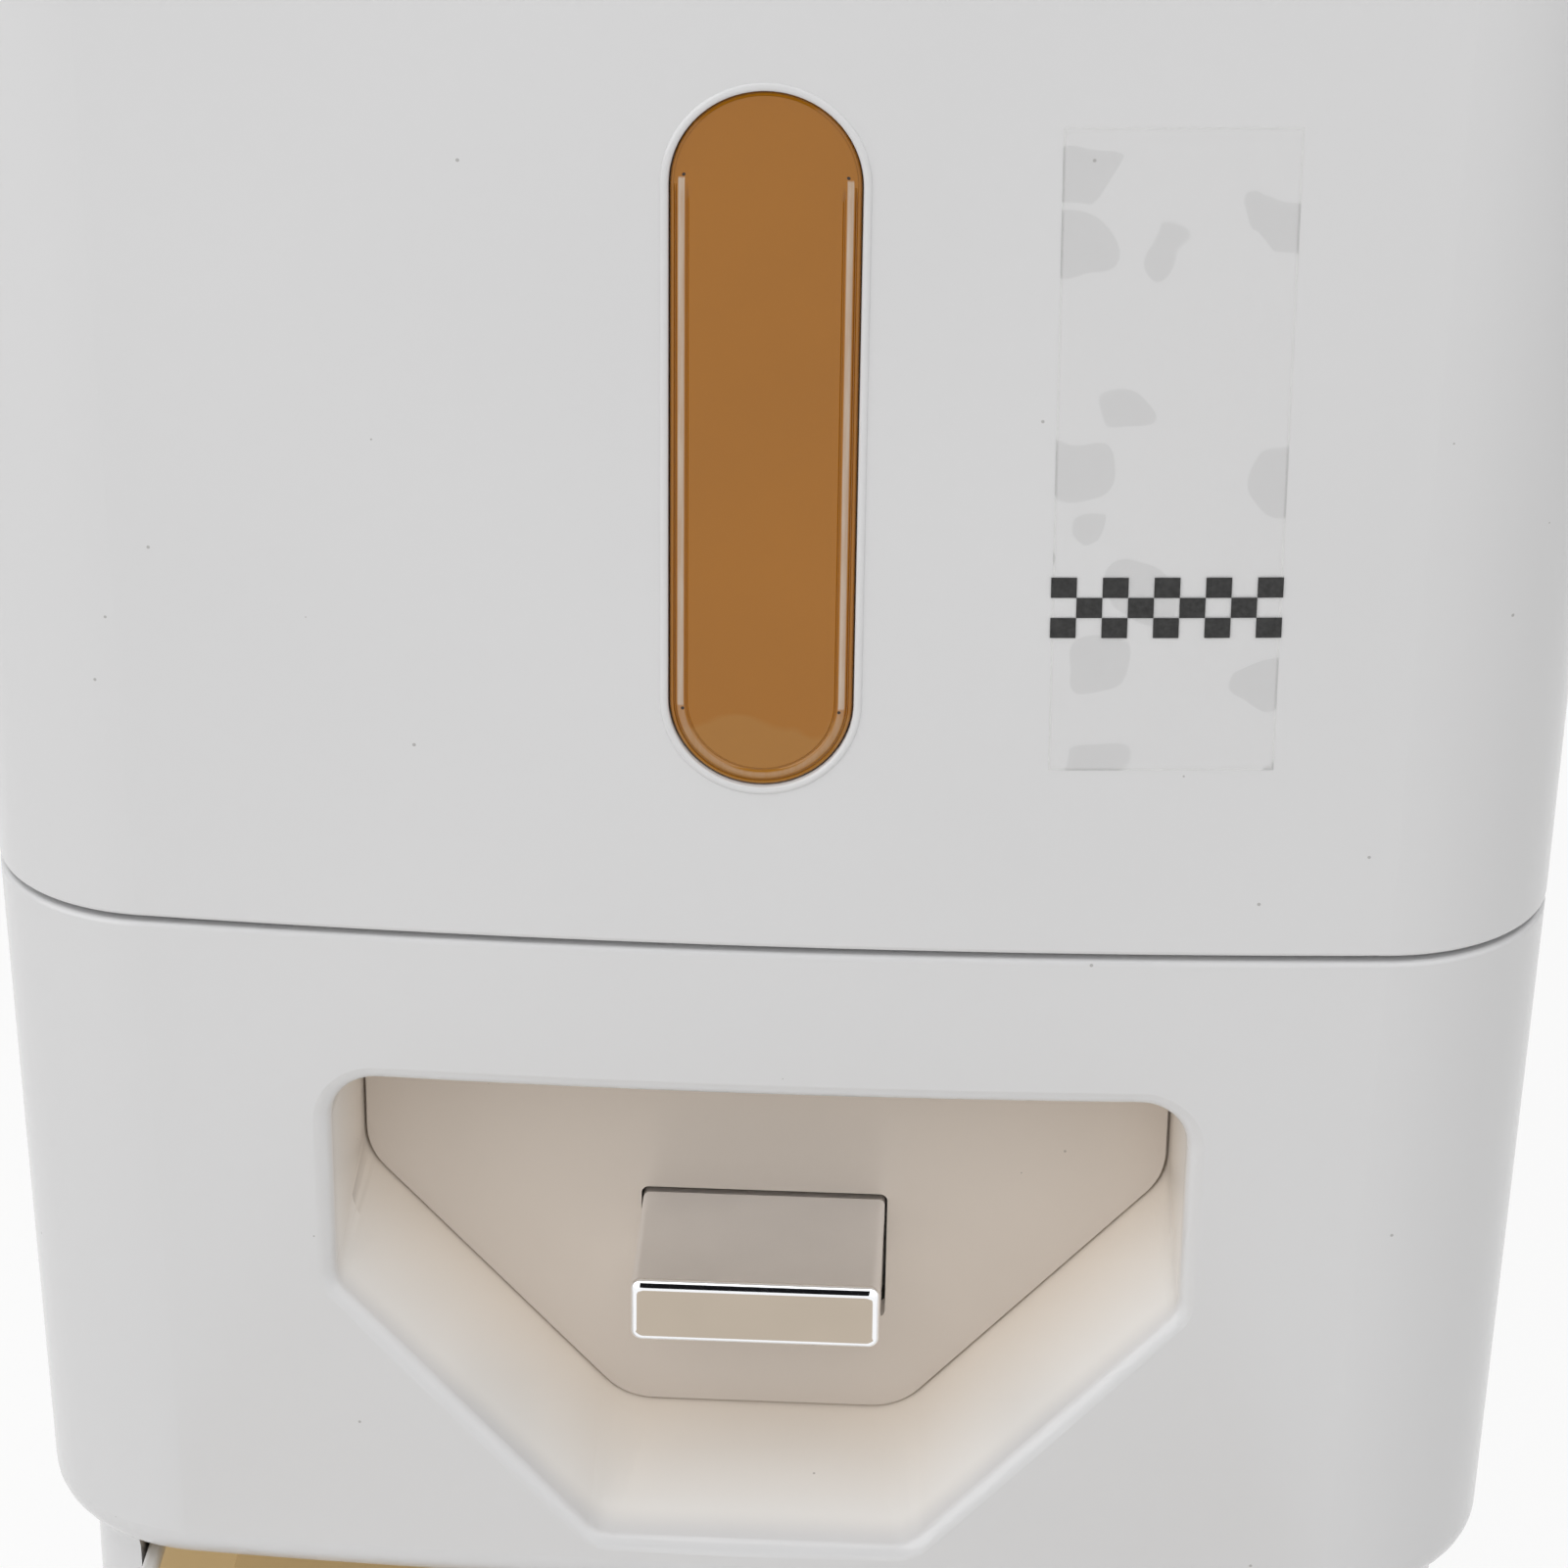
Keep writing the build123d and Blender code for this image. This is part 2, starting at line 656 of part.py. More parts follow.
def hopper_shell():
    """Upper housing: drafted walls, the joint to the base, the window and the hinge barrels."""
    low = seam_z + parting_gap / 2
    body = block(low, rim_z, 0)
    body = fillet(body.faces().sort_by(Axis.Z)[0].edges(), parting_round)
    body = fillet(body.faces().sort_by(Axis.Z)[-1].edges(), parting_round)
    shell = body - block(low, rim_z, wall)
    foot_z = seam_z - spigot_depth
    spigot = prism(foot_z, wall + fit_gap, foot_z, low + spigot_flange)
    spigot += prism(seam_z, wall / 2, low, low + spigot_flange)
    shell += spigot - prism(foot_z, wall + fit_gap + spigot_wall, foot_z, low + spigot_flange)
    shell -= window_solid(0, front_y - cut_overrun, front_y + wall + cut_overrun)
    shell = fillet([edge for edge in shell.edges() if on_window(edge)], window_edge_round)
    for side in (-1, 1):
        for ends in body_barrels(side):
            web_ys = (back_y - wall / 2, hinge_y)
            shell += box(ends, web_ys, (rim_z - hinge_web_drop, hinge_z)) - prism(rim_z, wall, foot_z, rim_z)
            shell += cross_bar(hinge_y, hinge_z, hinge_radius, *ends)
            shell -= cross_bar(hinge_y, hinge_z, hinge_pin_radius + bearing_gap, *ends)
    return shell


def on_window(edge):
    """Whether an edge lies on the outer rim of the window opening."""
    span = edge.bounding_box()
    in_front = span.max.Y < front_y + wall / 2
    in_width = max(abs(span.min.X), abs(span.max.X)) < window_width
    return in_front and in_width and span.min.Z > seam_z + window_rise - wall and span.max.Z < rim_z - wall


def window_solid(shrink, near, far):
    """Stadium of the window between two depths, drawn in by shrink."""
    stadium = SlotOverall(window_height - 2 * shrink, window_width - 2 * shrink, rotation=90)
    face = front_plane(near) * Pos(0, seam_z + window_rise + window_height / 2) * stadium
    return extrude(face, far - near, dir=(0, 1, 0))


def window_pane():
    """Amber window: a pane in the wall and a flange behind it."""
    flange_y = front_y + wall + sag(window_width / 2 + window_flange, crown_radius - wall)
    pane = window_solid(window_gap, front_y + window_setback, flange_y + window_flange_thickness)
    return pane + window_solid(-window_flange, flange_y, flange_y + window_flange_thickness)


def frustum(low, high):
    """Solid with flat sides between two level rectangles, each given as X limits, Y limits and height."""
    rings = []
    for x, y, z in (low, high):
        rings.append([(x[0], y[0], z), (x[1], y[0], z), (x[1], y[1], z), (x[0], y[1], z)])
    outlines = list(rings)
    for corner in range(4):
        near = [ring[corner] for ring in rings]
        far = [ring[(corner + 1) % 4] for ring in rings]
        outlines.append(near + far[::-1])
    faces = [make_face(Polyline(*points, close=True).edges()).face() for points in outlines]
    return Solid(Shell(faces))


def funnel_cavity():
    """Space above the hopper floor: four planes that fall to the throat."""
    half = gate_slot / 2
    rise = rim_z - throat_z
    wide = chamber_half_length + rise / tan(radians(side_slope))
    ahead = half + rise / tan(radians(front_slope))
    behind = half + rise / tan(radians(rear_slope))
    low = ((-chamber_half_length, chamber_half_length), (chamber_y - half, chamber_y + half), throat_z)
    return frustum(low, ((-wide, wide), (chamber_y - ahead, chamber_y + behind), rim_z))


def hopper_funnel():
    """Sloped floor of the hopper, with a collar round the outlet."""
    cavity = funnel_cavity()
    half = gate_slot / 2
    slot_x = (-chamber_half_length, chamber_half_length)
    slot_y = (chamber_y - half, chamber_y + half)
    inside = block(collar_z, rim_z, wall + glue_gap)
    floor = (Pos(0, 0, -funnel_wall) * cavity & inside) - cavity
    grown_x = (slot_x[0] - collar_wall, slot_x[1] + collar_wall)
    grown_y = (slot_y[0] - collar_wall, slot_y[1] + collar_wall)
    floor += box(grown_x, grown_y, (collar_z, throat_z)) - cavity
    return floor - box(slot_x, slot_y, (collar_z, throat_z))


def body_barrels(side):
    """Ends along X of the two hinge barrels of the hopper on one side."""
    inner = hinge_lid_length / 2 + hinge_side_gap
    outer = inner + hinge_body_length
    middle = side * hinge_x
    return [(middle - outer, middle - inner), (middle + inner, middle + outer)]


def lid_shell():
    """Lid: a shallow cover with a lifting lip, screw bosses and two hinge barrels."""
    cover = prism(rim_z, 0, lid_z, top_z)
    cover = fillet(cover.faces().sort_by(Axis.Z)[-1].edges(), lid_edge_round)
    cover = fillet(cover.faces().sort_by(Axis.Z)[0].edges(), parting_round)
    lip = box(
        (-lip_half_width, lip_half_width),
        (front_y - lip_reach, front_y + wall),
        (lid_z + parting_round, lid_z + parting_round + lip_thickness),
    )
    cover += fillet(lip.faces().sort_by(Axis.Y)[0].edges(), lip_round)
    cover -= prism(rim_z, wall, lid_z, top_z - wall)
    boss_z = lid_z + liner_rise + liner_thickness
    for x in (-lid_boss_x, lid_boss_x):
        for y in lid_boss_ys:
            cover += column(x, y, lid_boss_radius, boss_z, top_z - wall)
            cover -= column(x, y, screw_radius + pilot_gap, boss_z, boss_z + screw_bite + pilot_gap)
    for side in (-1, 1):
        ends = (side * hinge_x - hinge_lid_length / 2, side * hinge_x + hinge_lid_length / 2)
        web_ys = (back_y - wall / 2, hinge_y)
        cover += box(ends, web_ys, (hinge_z, hinge_z + hinge_web_rise))
        cover += cross_bar(hinge_y, hinge_z, hinge_radius, *ends)
        cover -= cross_bar(hinge_y, hinge_z, hinge_pin_radius + bearing_gap, *ends)
    return cover


def lid_liner():
    """Inner plate of the lid with the skirt that enters the hopper."""
    low = lid_z + liner_rise
    skirt_z = rim_z - skirt_drop
    plate = prism(rim_z, wall + fit_gap, low, low + liner_thickness)
    skirt = prism(skirt_z, wall + seal_width, skirt_z, low)
    skirt -= prism(skirt_z, wall + seal_width + skirt_wall, skirt_z, low)
    liner = plate + skirt
    for x in (-lid_boss_x, lid_boss_x):
        for y in lid_boss_ys:
            liner -= column(x, y, screw_radius + hole_gap, low, low + liner_thickness)
    return liner


def lid_gasket():
    """Silicone ring round the skirt."""
    low = rim_z - seal_drop - seal_height
    skirt_z = rim_z - skirt_drop
    ring = prism(low, wall + fit_gap, low, low + seal_height)
    return ring - prism(skirt_z, wall + seal_width, low, low + seal_height)


def hinge_pin(side):
    """Steel pin of one lid hinge."""
    ends = body_barrels(side)
    return cross_bar(hinge_y, hinge_z, hinge_pin_radius, ends[0][0], ends[1][1])


def screw_group(xs, ys, z, bite, up):
    """Like screws on a grid, as separate solids."""
    return Compound(children=[screw(x, y, z, bite, up) for x in xs for y in ys])


def bottom_screws():
    """Screws that hold the bottom plate under the posts of the base."""
    return screw_group((-boss_x, boss_x), boss_ys, foot_height, bottom_thickness + screw_bite, True)


def chassis_screws():
    """Screws that hold the chassis plate on the posts of the base."""
    return screw_group((-boss_x, boss_x), boss_ys, chassis_z, chassis_thickness + screw_bite, False)


def chamber_screws():
    """Screws that hold the legs of the dose chamber on the chassis plate."""
    bite = leg_pad + chassis_z - hanging_boss_z - screw_tip_gap
    return screw_group((-leg_screw_x, leg_screw_x), leg_screw_ys, chassis_z + leg_pad, bite, False)


def lid_screws():
    """Screws that hold the liner under the lid."""
    bite = liner_thickness + screw_bite
    return screw_group((-lid_boss_x, lid_boss_x), lid_boss_ys, lid_z + liner_rise, bite, True)


nodes = {
    "base_shell": base_shell(),
    "recess_plate": recess_plate(),
    "chassis_plate": chassis_plate(),
    "bottom_plate": bottom_plate(),
    "foot_front_left": foot(-foot_x, foot_ys[0]),
    "foot_front_right": foot(foot_x, foot_ys[0]),
    "foot_rear_left": foot(-foot_x, foot_ys[1]),
    "foot_rear_right": foot(foot_x, foot_ys[1]),
    "drawer_tray": drawer_tray(),
    "measure_chamber": measure_chamber(),
    "gate_frame": gate_frame(),
    "lever_cap": lever_cap(),
    "lever_arm": lever_arm(),
    "lever_axle": lever_axle(),
    "axle_clips": axle_clips(),
    "return_spring": return_spring(),
    "hopper_shell": hopper_shell(),
    "hopper_funnel": hopper_funnel(),
    "window_pane": window_pane(),
    "lid_shell": lid_shell(),
    "lid_liner": lid_liner(),
    "lid_gasket": lid_gasket(),
    "hinge_pin_left": hinge_pin(-1),
    "hinge_pin_right": hinge_pin(1),
    "bottom_screws": bottom_screws(),
    "chassis_screws": chassis_screws(),
    "chamber_screws": chamber_screws(),
    "lid_screws": lid_screws(),
}

os.makedirs("parts", exist_ok=True)
for name, shape in nodes.items():
    export_step(shape, f"parts/{name}.step")
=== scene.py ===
"""Finishes of a rice container: shells, amber window, label, chromed lever, screws, spring and studio."""

import math
from collections import namedtuple

import bmesh
import bpy
from bpy.props import FloatProperty, FloatVectorProperty, IntProperty, PointerProperty
from mathutils import Matrix, Vector


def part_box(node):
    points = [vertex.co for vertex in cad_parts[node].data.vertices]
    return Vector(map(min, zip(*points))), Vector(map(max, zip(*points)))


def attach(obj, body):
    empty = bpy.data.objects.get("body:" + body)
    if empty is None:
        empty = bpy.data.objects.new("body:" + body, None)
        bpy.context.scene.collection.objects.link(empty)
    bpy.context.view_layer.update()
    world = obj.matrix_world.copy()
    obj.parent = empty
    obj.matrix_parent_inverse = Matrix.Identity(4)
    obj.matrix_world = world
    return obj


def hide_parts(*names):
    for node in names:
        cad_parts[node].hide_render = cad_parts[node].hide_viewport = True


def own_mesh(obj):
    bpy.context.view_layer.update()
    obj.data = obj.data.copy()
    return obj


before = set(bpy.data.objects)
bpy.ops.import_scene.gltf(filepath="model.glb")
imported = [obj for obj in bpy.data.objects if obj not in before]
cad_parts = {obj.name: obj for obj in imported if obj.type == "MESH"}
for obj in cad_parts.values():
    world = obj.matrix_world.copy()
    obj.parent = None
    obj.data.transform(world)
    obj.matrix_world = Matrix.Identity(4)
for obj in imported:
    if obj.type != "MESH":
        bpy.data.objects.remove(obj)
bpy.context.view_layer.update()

bl_info = {
    "name": "Rice container finishes",
    "version": (1, 0, 0),
    "blender": (4, 5, 0),
    "location": "View3D > Sidebar > Rice container",
    "description": "Gives the packed solids of a rice container their finishes, trim and studio",
    "category": "Object",
}

MM = 0.001
FRONT_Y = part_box("hopper_shell")[0].y
SEAM_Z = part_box("base_shell")[1].z
PLATE_LOW, PLATE_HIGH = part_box("recess_plate")

# Setting that the second word of a node's kind stands for, as in "Math ADD". Inputs whose names repeat go
# by number: 0 and 1 on a Math node, and on a Mix node 6 and 7 for the two colours, with output 2.
OPTIONS = {
    "Math": "operation",
    "VectorMath": "operation",
    "MeshBoolean": "operation",
    "MapRange": "interpolation_type",
    "Mix": "data_type",
}

# Roughness from low to high over smears, and the size and depth of the grain, in millimetres
Sheen = namedtuple("Sheen", "low high smear grain depth")
# Mean spacing and radius of stray specks, in millimetres
Dust = namedtuple("Dust", "spacing radius")
Softbox = namedtuple("Softbox", "place size power_setting in_reflections")
Card = namedtuple("Card", "place target size tone")

# The gloss shells: their sheen, their stray dust and the size of their faint mottle in millimetres
SHELL_SHEEN = Sheen(low=0.17, high=0.22, smear=45, grain=1.6, depth=0.004)
SHELL_DUST = Dust(spacing=9, radius=0.22)
SHELL_PATCH = 70

# Lamps and reflection cards in metres. The cards show only in reflections: bright metal needs something
# dark and something warm to mirror.
STUDIO_AIM = (0, -0.05, 0.16)
SOFTBOXES = {
    "top_softbox": Softbox((0, -0.25, 1.5), 1.4, "top_power", True),
    "left_softbox": Softbox((-1.3, -0.8, 0.88), 1.7, "left_power", True),
    "right_softbox": Softbox((1.3, -0.8, 0.88), 1.7, "right_power", True),
    "front_softbox": Softbox((-0.1, -1.35, 1.4), 1.2, "front_power", False),
}
CARDS = {
    "dark_flag": Card((-0.1, -1.12, 0.89), STUDIO_AIM, (0.85, 1.62), (0.008, 0.008, 0.009)),
    "beige_card": Card((-0.01, -0.275, 0.001), (-0.01, -0.275, 1), (0.2, 0.16), (0.53, 0.45, 0.36)),
}


def linear(code):
    """Linear RGBA of an sRGB hex colour."""
    parts = [int(code[at:at + 2], 16) / 255 for at in (1, 3, 5)]
    return [c / 12.92 if c <= 0.04045 else ((c + 0.055) / 1.055) ** 2.4 for c in parts] + [1.0]


def colour(name, description, code):
    """Colour property whose default is an sRGB hex value."""
    return FloatVectorProperty(
        name=name, description=description, subtype="COLOR", size=4, min=0, max=1, default=linear(code)
    )


def length(name, description, millimetres):
    """Length property whose default is given in millimetres."""
    return FloatProperty(
        name=name, description=description, unit="LENGTH", precision=5, default=millimetres * MM
    )


def angle(name, description, radians):
    """Angle property."""
    return FloatProperty(name=name, description=description, subtype="ANGLE", default=radians)


def number(name, description, value):
    """Plain number property."""
    return FloatProperty(name=name, description=description, default=value)


def count(name, description, value):
    """Whole number property."""
    return IntProperty(name=name, description=description, default=value)


class PlasticFinish(bpy.types.PropertyGroup):
    """Colours of the moulded plastics."""

    shell: colour("Shell", "Gloss white of the hopper, base and lid", "#dbdbdc")
    shell_shade: colour("Shell shade", "Darker tone of the shell's faint mottle", "#d9d9da")
    # Painted light: a lighter, warm tone deep in the recess stands in for light bounced from wall to wall
    recess: colour("Recess", "Warm white at the back of the recess", "#f1e6d9")
    # Painted light: a lighter white on the recess's slopes stands in for the light they catch
    slope: colour("Slope", "Clean white of the recess's slopes", "#efedea")
    # Painted shade: the plate's cream tone stands in for warm shade deep in the recess
    plate: colour("Plate", "Cream of the plate behind the lever", "#dcd1c6")
    inner: colour("Inner", "Satin white of the hidden mouldings", "#dedcd6")
    sliding: colour("Sliding", "Natural acetal of the gate and the lever arm", "#d6d6d2")
    tray: colour("Tray", "White of the drawer's rim and front", "#e4e3e1")
    # Painted shade: a darker warm tan for the drawer's inside, in place of the rim's white
    tray_inside_painted_shade: colour("Tray inside", "Cream of the drawer's inside", "#dac8a8")
    # Painted light: glow of the drawer's inside, though no lamp lights it there
    tray_painted_glow: colour("Tray glow", "Light that comes through the drawer's thin walls", "#c1af89")
    amber: colour("Amber", "Tint of the level window", "#a4680f")
    # Paler tone near the window's lower end, below a wavy line
    amber_lower_tone: colour("Amber haze", "Pale bloom near the window's lower end", "#a36e26")
    # Painted light: pale band on the pane's side ribs
    rib_painted_light: colour("Rail", "Pale band where the pane's side ribs pipe light", "#c2b09e")
    # Painted shade: dark dot at each end of a rib
    rib_end_painted_shade: colour("Sink mark", "Dark dot at each end of a rib", "#2a1a0c")
    speck: colour("Speck", "Stray dust on the gloss plastics", "#6f6a64")


class MetalFinish(bpy.types.PropertyGroup):
    """Colours of the metals, rubbers and print."""

    chrome: colour("Chrome", "Bright plating of the lever cap", "#fcfdff")
    steel: colour("Steel", "Zinc-plated steel of pins and screws", "#b9babb")
    wire: colour("Wire", "Oiled spring wire", "#8f9092")
    rubber: colour("Rubber", "Black rubber of the feet", "#2a2a2a")
    silicone: colour("Silicone", "Milky silicone of the lid seal", "#d9d7d0")
    ink: colour("Ink", "Black print of the check band", "#151515")
    film: colour("Film", "Clear film of the label", "#efeeec")
    film_patch: colour("Film patch", "Film where its adhesive has wetted the shell", "#a9a8a7")


class WindowSizes(bpy.types.PropertyGroup):
    """Sizes of the level window's pane."""

    flange: length("Flange", "How far the hidden flange stands out round the opening", 3.0)
    flange_thickness: length("Flange thickness", "Thickness of the hidden flange", 1.5)
    lip_width: length("Lip width", "Width of the lip round the opening", 1.0)
    lip_height: length("Lip height", "Height of that lip", 0.42)
    gap: length("Gap", "Gap between the pane and the opening", 0.14)
    border: length("Border", "Border outside the rib", 0.8)
    rib_width: length("Rib width", "Width of the rib along the sides and the lower end", 1.0)
    groove_depth: length("Groove depth", "Depth of the grooves beside the rib", 0.5)
    arc_steps: count("Arc steps", "Points on a quarter of each round end", 24)
    side_steps: count("Side steps", "Points along each straight side", 60)
    lip_steps: count("Lip steps", "Points across the lip", 12)


class LabelSizes(bpy.types.PropertyGroup):
    """Sizes and place of the clear label and its check band."""

    width: length("Width", "Width of the film", 26.7)
    height: length("Height", "Height of the film", 78.5)
    thickness: length("Thickness", "Thickness of the film", 0.08)
    lift: length("Lift", "Glue between the shell and the film", 0.02)
    centre_x: length("Centre X", "Middle of the film from the body's middle", 46.9)
    centre_rise: length("Centre rise", "Middle of the film above the seam", 64.8)
    tilt: angle("Tilt", "How far the film was stuck on askew", math.radians(0.8))
    crown: length("Crown", "Radius of the bowed front", 997.0)
    steps: count("Steps", "Strips that bend the film across its width", 24)
    band_rise: length("Band rise", "Middle of the check band above the seam", 46.4)
    cell_width: length("Cell width", "Width of one check", 3.0)
    cell_height: length("Cell height", "Height of one check", 2.53)
    ink_thickness: length("Ink thickness", "Thickness of the print", 0.02)
    columns: count("Columns", "Checks across the band", 9)
    rows: count("Rows", "Checks down the band, an odd number", 3)


class LeverSizes(bpy.types.PropertyGroup):
    """Sizes of the lever's plated cap."""

    plating: length("Plating", "How far the plated sides stand out beside the moulding", 0.55)
    top_draft: length("Top draft", "How much higher the top stands at the rear", 0.45)
    front_round: length("Front round", "Radius of the edge round the front face", 1.2)
    corner_round: length("Corner round", "Radius of the front face's corners", 1.3)
    rear_round: length("Rear round", "Radius of the edges that run in depth, at the rear", 0.6)
    support: length("Support", "Strip beside each round that keeps the faces flat", 0.15)
    arc_steps: count("Arc steps", "Points on each round", 8)


class ScrewSizes(bpy.types.PropertyGroup):
    """Sizes of the pan-head screws."""

    head_radius: length("Head radius", "Radius of the head", 2.5)
    head_height: length("Head height", "Height of the head", 1.5)
    shank_radius: length("Shank radius", "Radius of the shank", 1.15)
    dome_radius: length("Dome radius", "Radius of the head's crown", 4.2)
    slot_width: length("Slot width", "Width of the cross slot", 0.7)
    slot_length: length("Slot length", "Length of each arm of the cross slot", 3.2)
    slot_depth: length("Slot depth", "Depth of the cross slot", 0.8)


class SpringSizes(bpy.types.PropertyGroup):
    """Sizes of the return spring."""

    wire: length("Wire", "Diameter of the wire", 1.0)
    turns: count("Turns", "Turns of the spring", 7)


class StudioSettings(bpy.types.PropertyGroup):
    """Camera, floor and lamps."""

    camera_place: FloatVectorProperty(
        name="Camera place", description="Where the camera stands", subtype="TRANSLATION", size=3,
        default=(0.0236, -0.60707, 0.38513),
    )
    pitch: angle("Pitch", "How far the camera looks down", 0.4339)
    yaw: angle("Yaw", "How far the camera turns to the right", -0.0436)
    roll: angle("Roll", "How far the camera leans", 0.0129)
    lens: number("Lens", "Focal length in mm on a 36 mm sensor", 101.19)
    floor: colour("Floor", "White paper of the floor", "#f4f3f1")
    floor_size: length("Floor size", "Half the side of the paper", 6000.0)
    floor_drop: length("Floor drop", "How far the paper lies under the feet", 0.05)
    ambient: number("Ambient", "Strength of the even light all round", 0.29)
    shine: number("Shine", "Strength of the surround in reflections", 1.15)
    top_power: number("Top power", "Power of the overhead softbox in W", 5.4)
    left_power: number("Left power", "Power of the left softbox in W", 9.8)
    right_power: number("Right power", "Power of the right softbox in W", 5.0)
    front_power: number("Front power", "Power of the front softbox in W", 7.7)


def add(tree, kind, values=(), out=0):
    """Adds a node of a kind and option, links or sets its inputs, and gives one output, or the node."""
    kind, *option = kind.split()
    family = next(word for word in ("Shader", "Geometry", "") if hasattr(bpy.types, f"{word}Node{kind}"))
    node = tree.nodes.new(f"{family}Node{kind}")
    for word in option:
        setattr(node, OPTIONS[kind], word)
    for key, value in dict(values).items():
        if isinstance(value, bpy.types.NodeSocket):
            tree.links.new(value, node.inputs[key])
        else:
            node.inputs[key].default_value = value
    return node if out is None else node.outputs[out]


def within(tree, tests):
    """Share of the places that pass all tests, each a comparison, a value and its limit."""
    share, *others = [add(tree, "Math " + test, {0: value, 1: limit}) for test, value, limit in tests]
    for other in others:
        share = add(tree, "Math MULTIPLY", {0: share, 1: other})
    return share


def per_metre(millimetres):
    """Texture scale whose features have a size in millimetres."""
    return 1 / (millimetres * MM)


def shaded(tone, share, lift=0.0):
    """A colour brought to a share of itself, and lifted."""
    return [value * share + lift for value in tone[:3]] + [1.0]


def start(name, **values):
    """New material: itself, its tree, its shader with constants set, and its object coordinates."""
    material = bpy.data.materials.new(name)
    material.use_nodes = True
    tree = material.node_tree
    shader = tree.nodes["Principled BSDF"]
    for key, value in values.items():
        shader.inputs[key.replace("_", " ")].default_value = value
    return material, tree, shader, add(tree, "TexCoord", out="Object")


def patches(tree, coords, size, detail, low=0.0, high=1.0):
    """Value that wanders between two ends over patches of a size in millimetres."""
    noise = add(tree, "TexNoise", {"Vector": coords, "Scale": per_metre(size), "Detail": detail}, "Fac")
    ends = {"From Min": 0.3, "From Max": 0.7, "To Min": low, "To Max": high}
    return add(tree, "MapRange", {"Value": noise, **ends})


def mottle(tree, coords, light, dark, patch, detail=3.0):
    """Colour that wanders between two tones over patches of a size in millimetres."""
    return add(tree, "Mix RGBA", {0: patches(tree, coords, patch, detail), 6: light, 7: dark}, 2)


def sheen_and_grain(tree, shader, coords, sheen):
    """Smeared roughness and a fine bump."""
    rough = patches(tree, coords, sheen.smear, detail=4.0, low=sheen.low, high=sheen.high)
    tree.links.new(rough, shader.inputs["Roughness"])
    peel = add(tree, "TexNoise", {"Vector": coords, "Scale": per_metre(sheen.grain), "Detail": 1.0}, "Fac")
    bump = add(tree, "Bump", {"Height": peel, "Strength": 1.0, "Distance": sheen.depth * MM})
    tree.links.new(bump, shader.inputs["Normal"])


def dusted(tree, coords, base, dust, tone):
    """A colour with rare, faint specks of a tone."""
    strength = 0.45
    cells = add(tree, "TexVoronoi", {"Vector": coords, "Scale": per_metre(dust.spacing)}, "Distance")
    speck = add(tree, "Math LESS_THAN", {0: cells, 1: dust.radius / dust.spacing})
    faint = add(tree, "Math MULTIPLY", {0: speck, 1: strength})
    return add(tree, "Mix RGBA", {0: faint, 6: base, 7: tone}, 2)


def surfaced(name, light, dark, sheen, patch, detail=3.0, stretch=None, dust=None, **values):
    """Material whose colour wanders over patches, drawn out if stretched, with dust, a sheen and a grain."""
    material, tree, shader, coords = start(name, **values)
    place = add(tree, "Mapping", {"Vector": coords, "Scale": stretch}) if stretch else coords
    tone = mottle(tree, place, light, dark, patch, detail)
    if dust:
        tone = dusted(tree, coords, tone, *dust)
    tree.links.new(tone, shader.inputs["Base Color"])
    sheen_and_grain(tree, shader, coords, sheen)
    return material


def shell_abs(finish):
    """Gloss ABS, injection moulded in a polished tool: even white, soft gloss, stray dust."""
    return surfaced(
        "ABS_gloss_moulded_white", finish.shell, finish.shell_shade, SHELL_SHEEN,
        patch=SHELL_PATCH, detail=1.0, dust=(SHELL_DUST, finish.speck), IOR=1.53,
    )


def base_abs_painted_recess_light(finish):
    """The same gloss ABS on the base, with painted light inside the recess: a lighter white painted on its
    slopes and a lighter, warm tone painted deeper in, standing in for light that goes from wall to wall.
    """
    material, tree, shader, coords = start("ABS_gloss_moulded_white_base", IOR=1.53)
    edge, slopes, back = FRONT_Y + 1.5 * MM, FRONT_Y + 6 * MM, PLATE_LOW.y + MM
    tone = mottle(tree, coords, finish.shell, finish.shell_shade, SHELL_PATCH, detail=1.0)
    place = add(tree, "SeparateXYZ", {"Vector": coords}, None).outputs
    beside = add(tree, "Math ABSOLUTE", {0: place["X"]})
    # Painted light: from the front edge inwards the recess gets a lighter white on its slopes and a lighter,
    # warm tone further back
    inward = add(tree, "MapRange SMOOTHSTEP", {"Value": place["Y"], "From Min": edge, "From Max": slopes})
    deep = add(tree, "MapRange", {"Value": place["Y"], "From Min": slopes, "From Max": back})
    painted_bounce_tone = add(tree, "Mix RGBA", {0: deep, 6: finish.slope, 7: finish.recess}, 2)
    near = within(tree, [
        ("LESS_THAN", place["Y"], PLATE_HIGH.y + MM),
        ("LESS_THAN", beside, PLATE_HIGH.x + 2 * MM),
    ])
    share = add(tree, "Math MULTIPLY", {0: inward, 1: near})
    warm = add(tree, "Mix RGBA", {0: share, 6: tone, 7: painted_bounce_tone}, 2)
    tree.links.new(dusted(tree, coords, warm, SHELL_DUST, finish.speck), shader.inputs["Base Color"])
    sheen_and_grain(tree, shader, coords, SHELL_SHEEN)
    return material


def plate_abs_painted_warm_shade(finish):
    """Gloss ABS of the plate behind the lever: a cream tone painted on as the recess's warm shade, with
    smears from fingers.
    """
    return surfaced(
        "ABS_gloss_moulded_cream", finish.plate, shaded(finish.plate, 0.96),
        Sheen(low=0.2, high=0.26, smear=30, grain=1.6, depth=0.004),
        patch=60, detail=0.0, dust=(Dust(spacing=6, radius=0.2), finish.speck), IOR=1.53,
    )


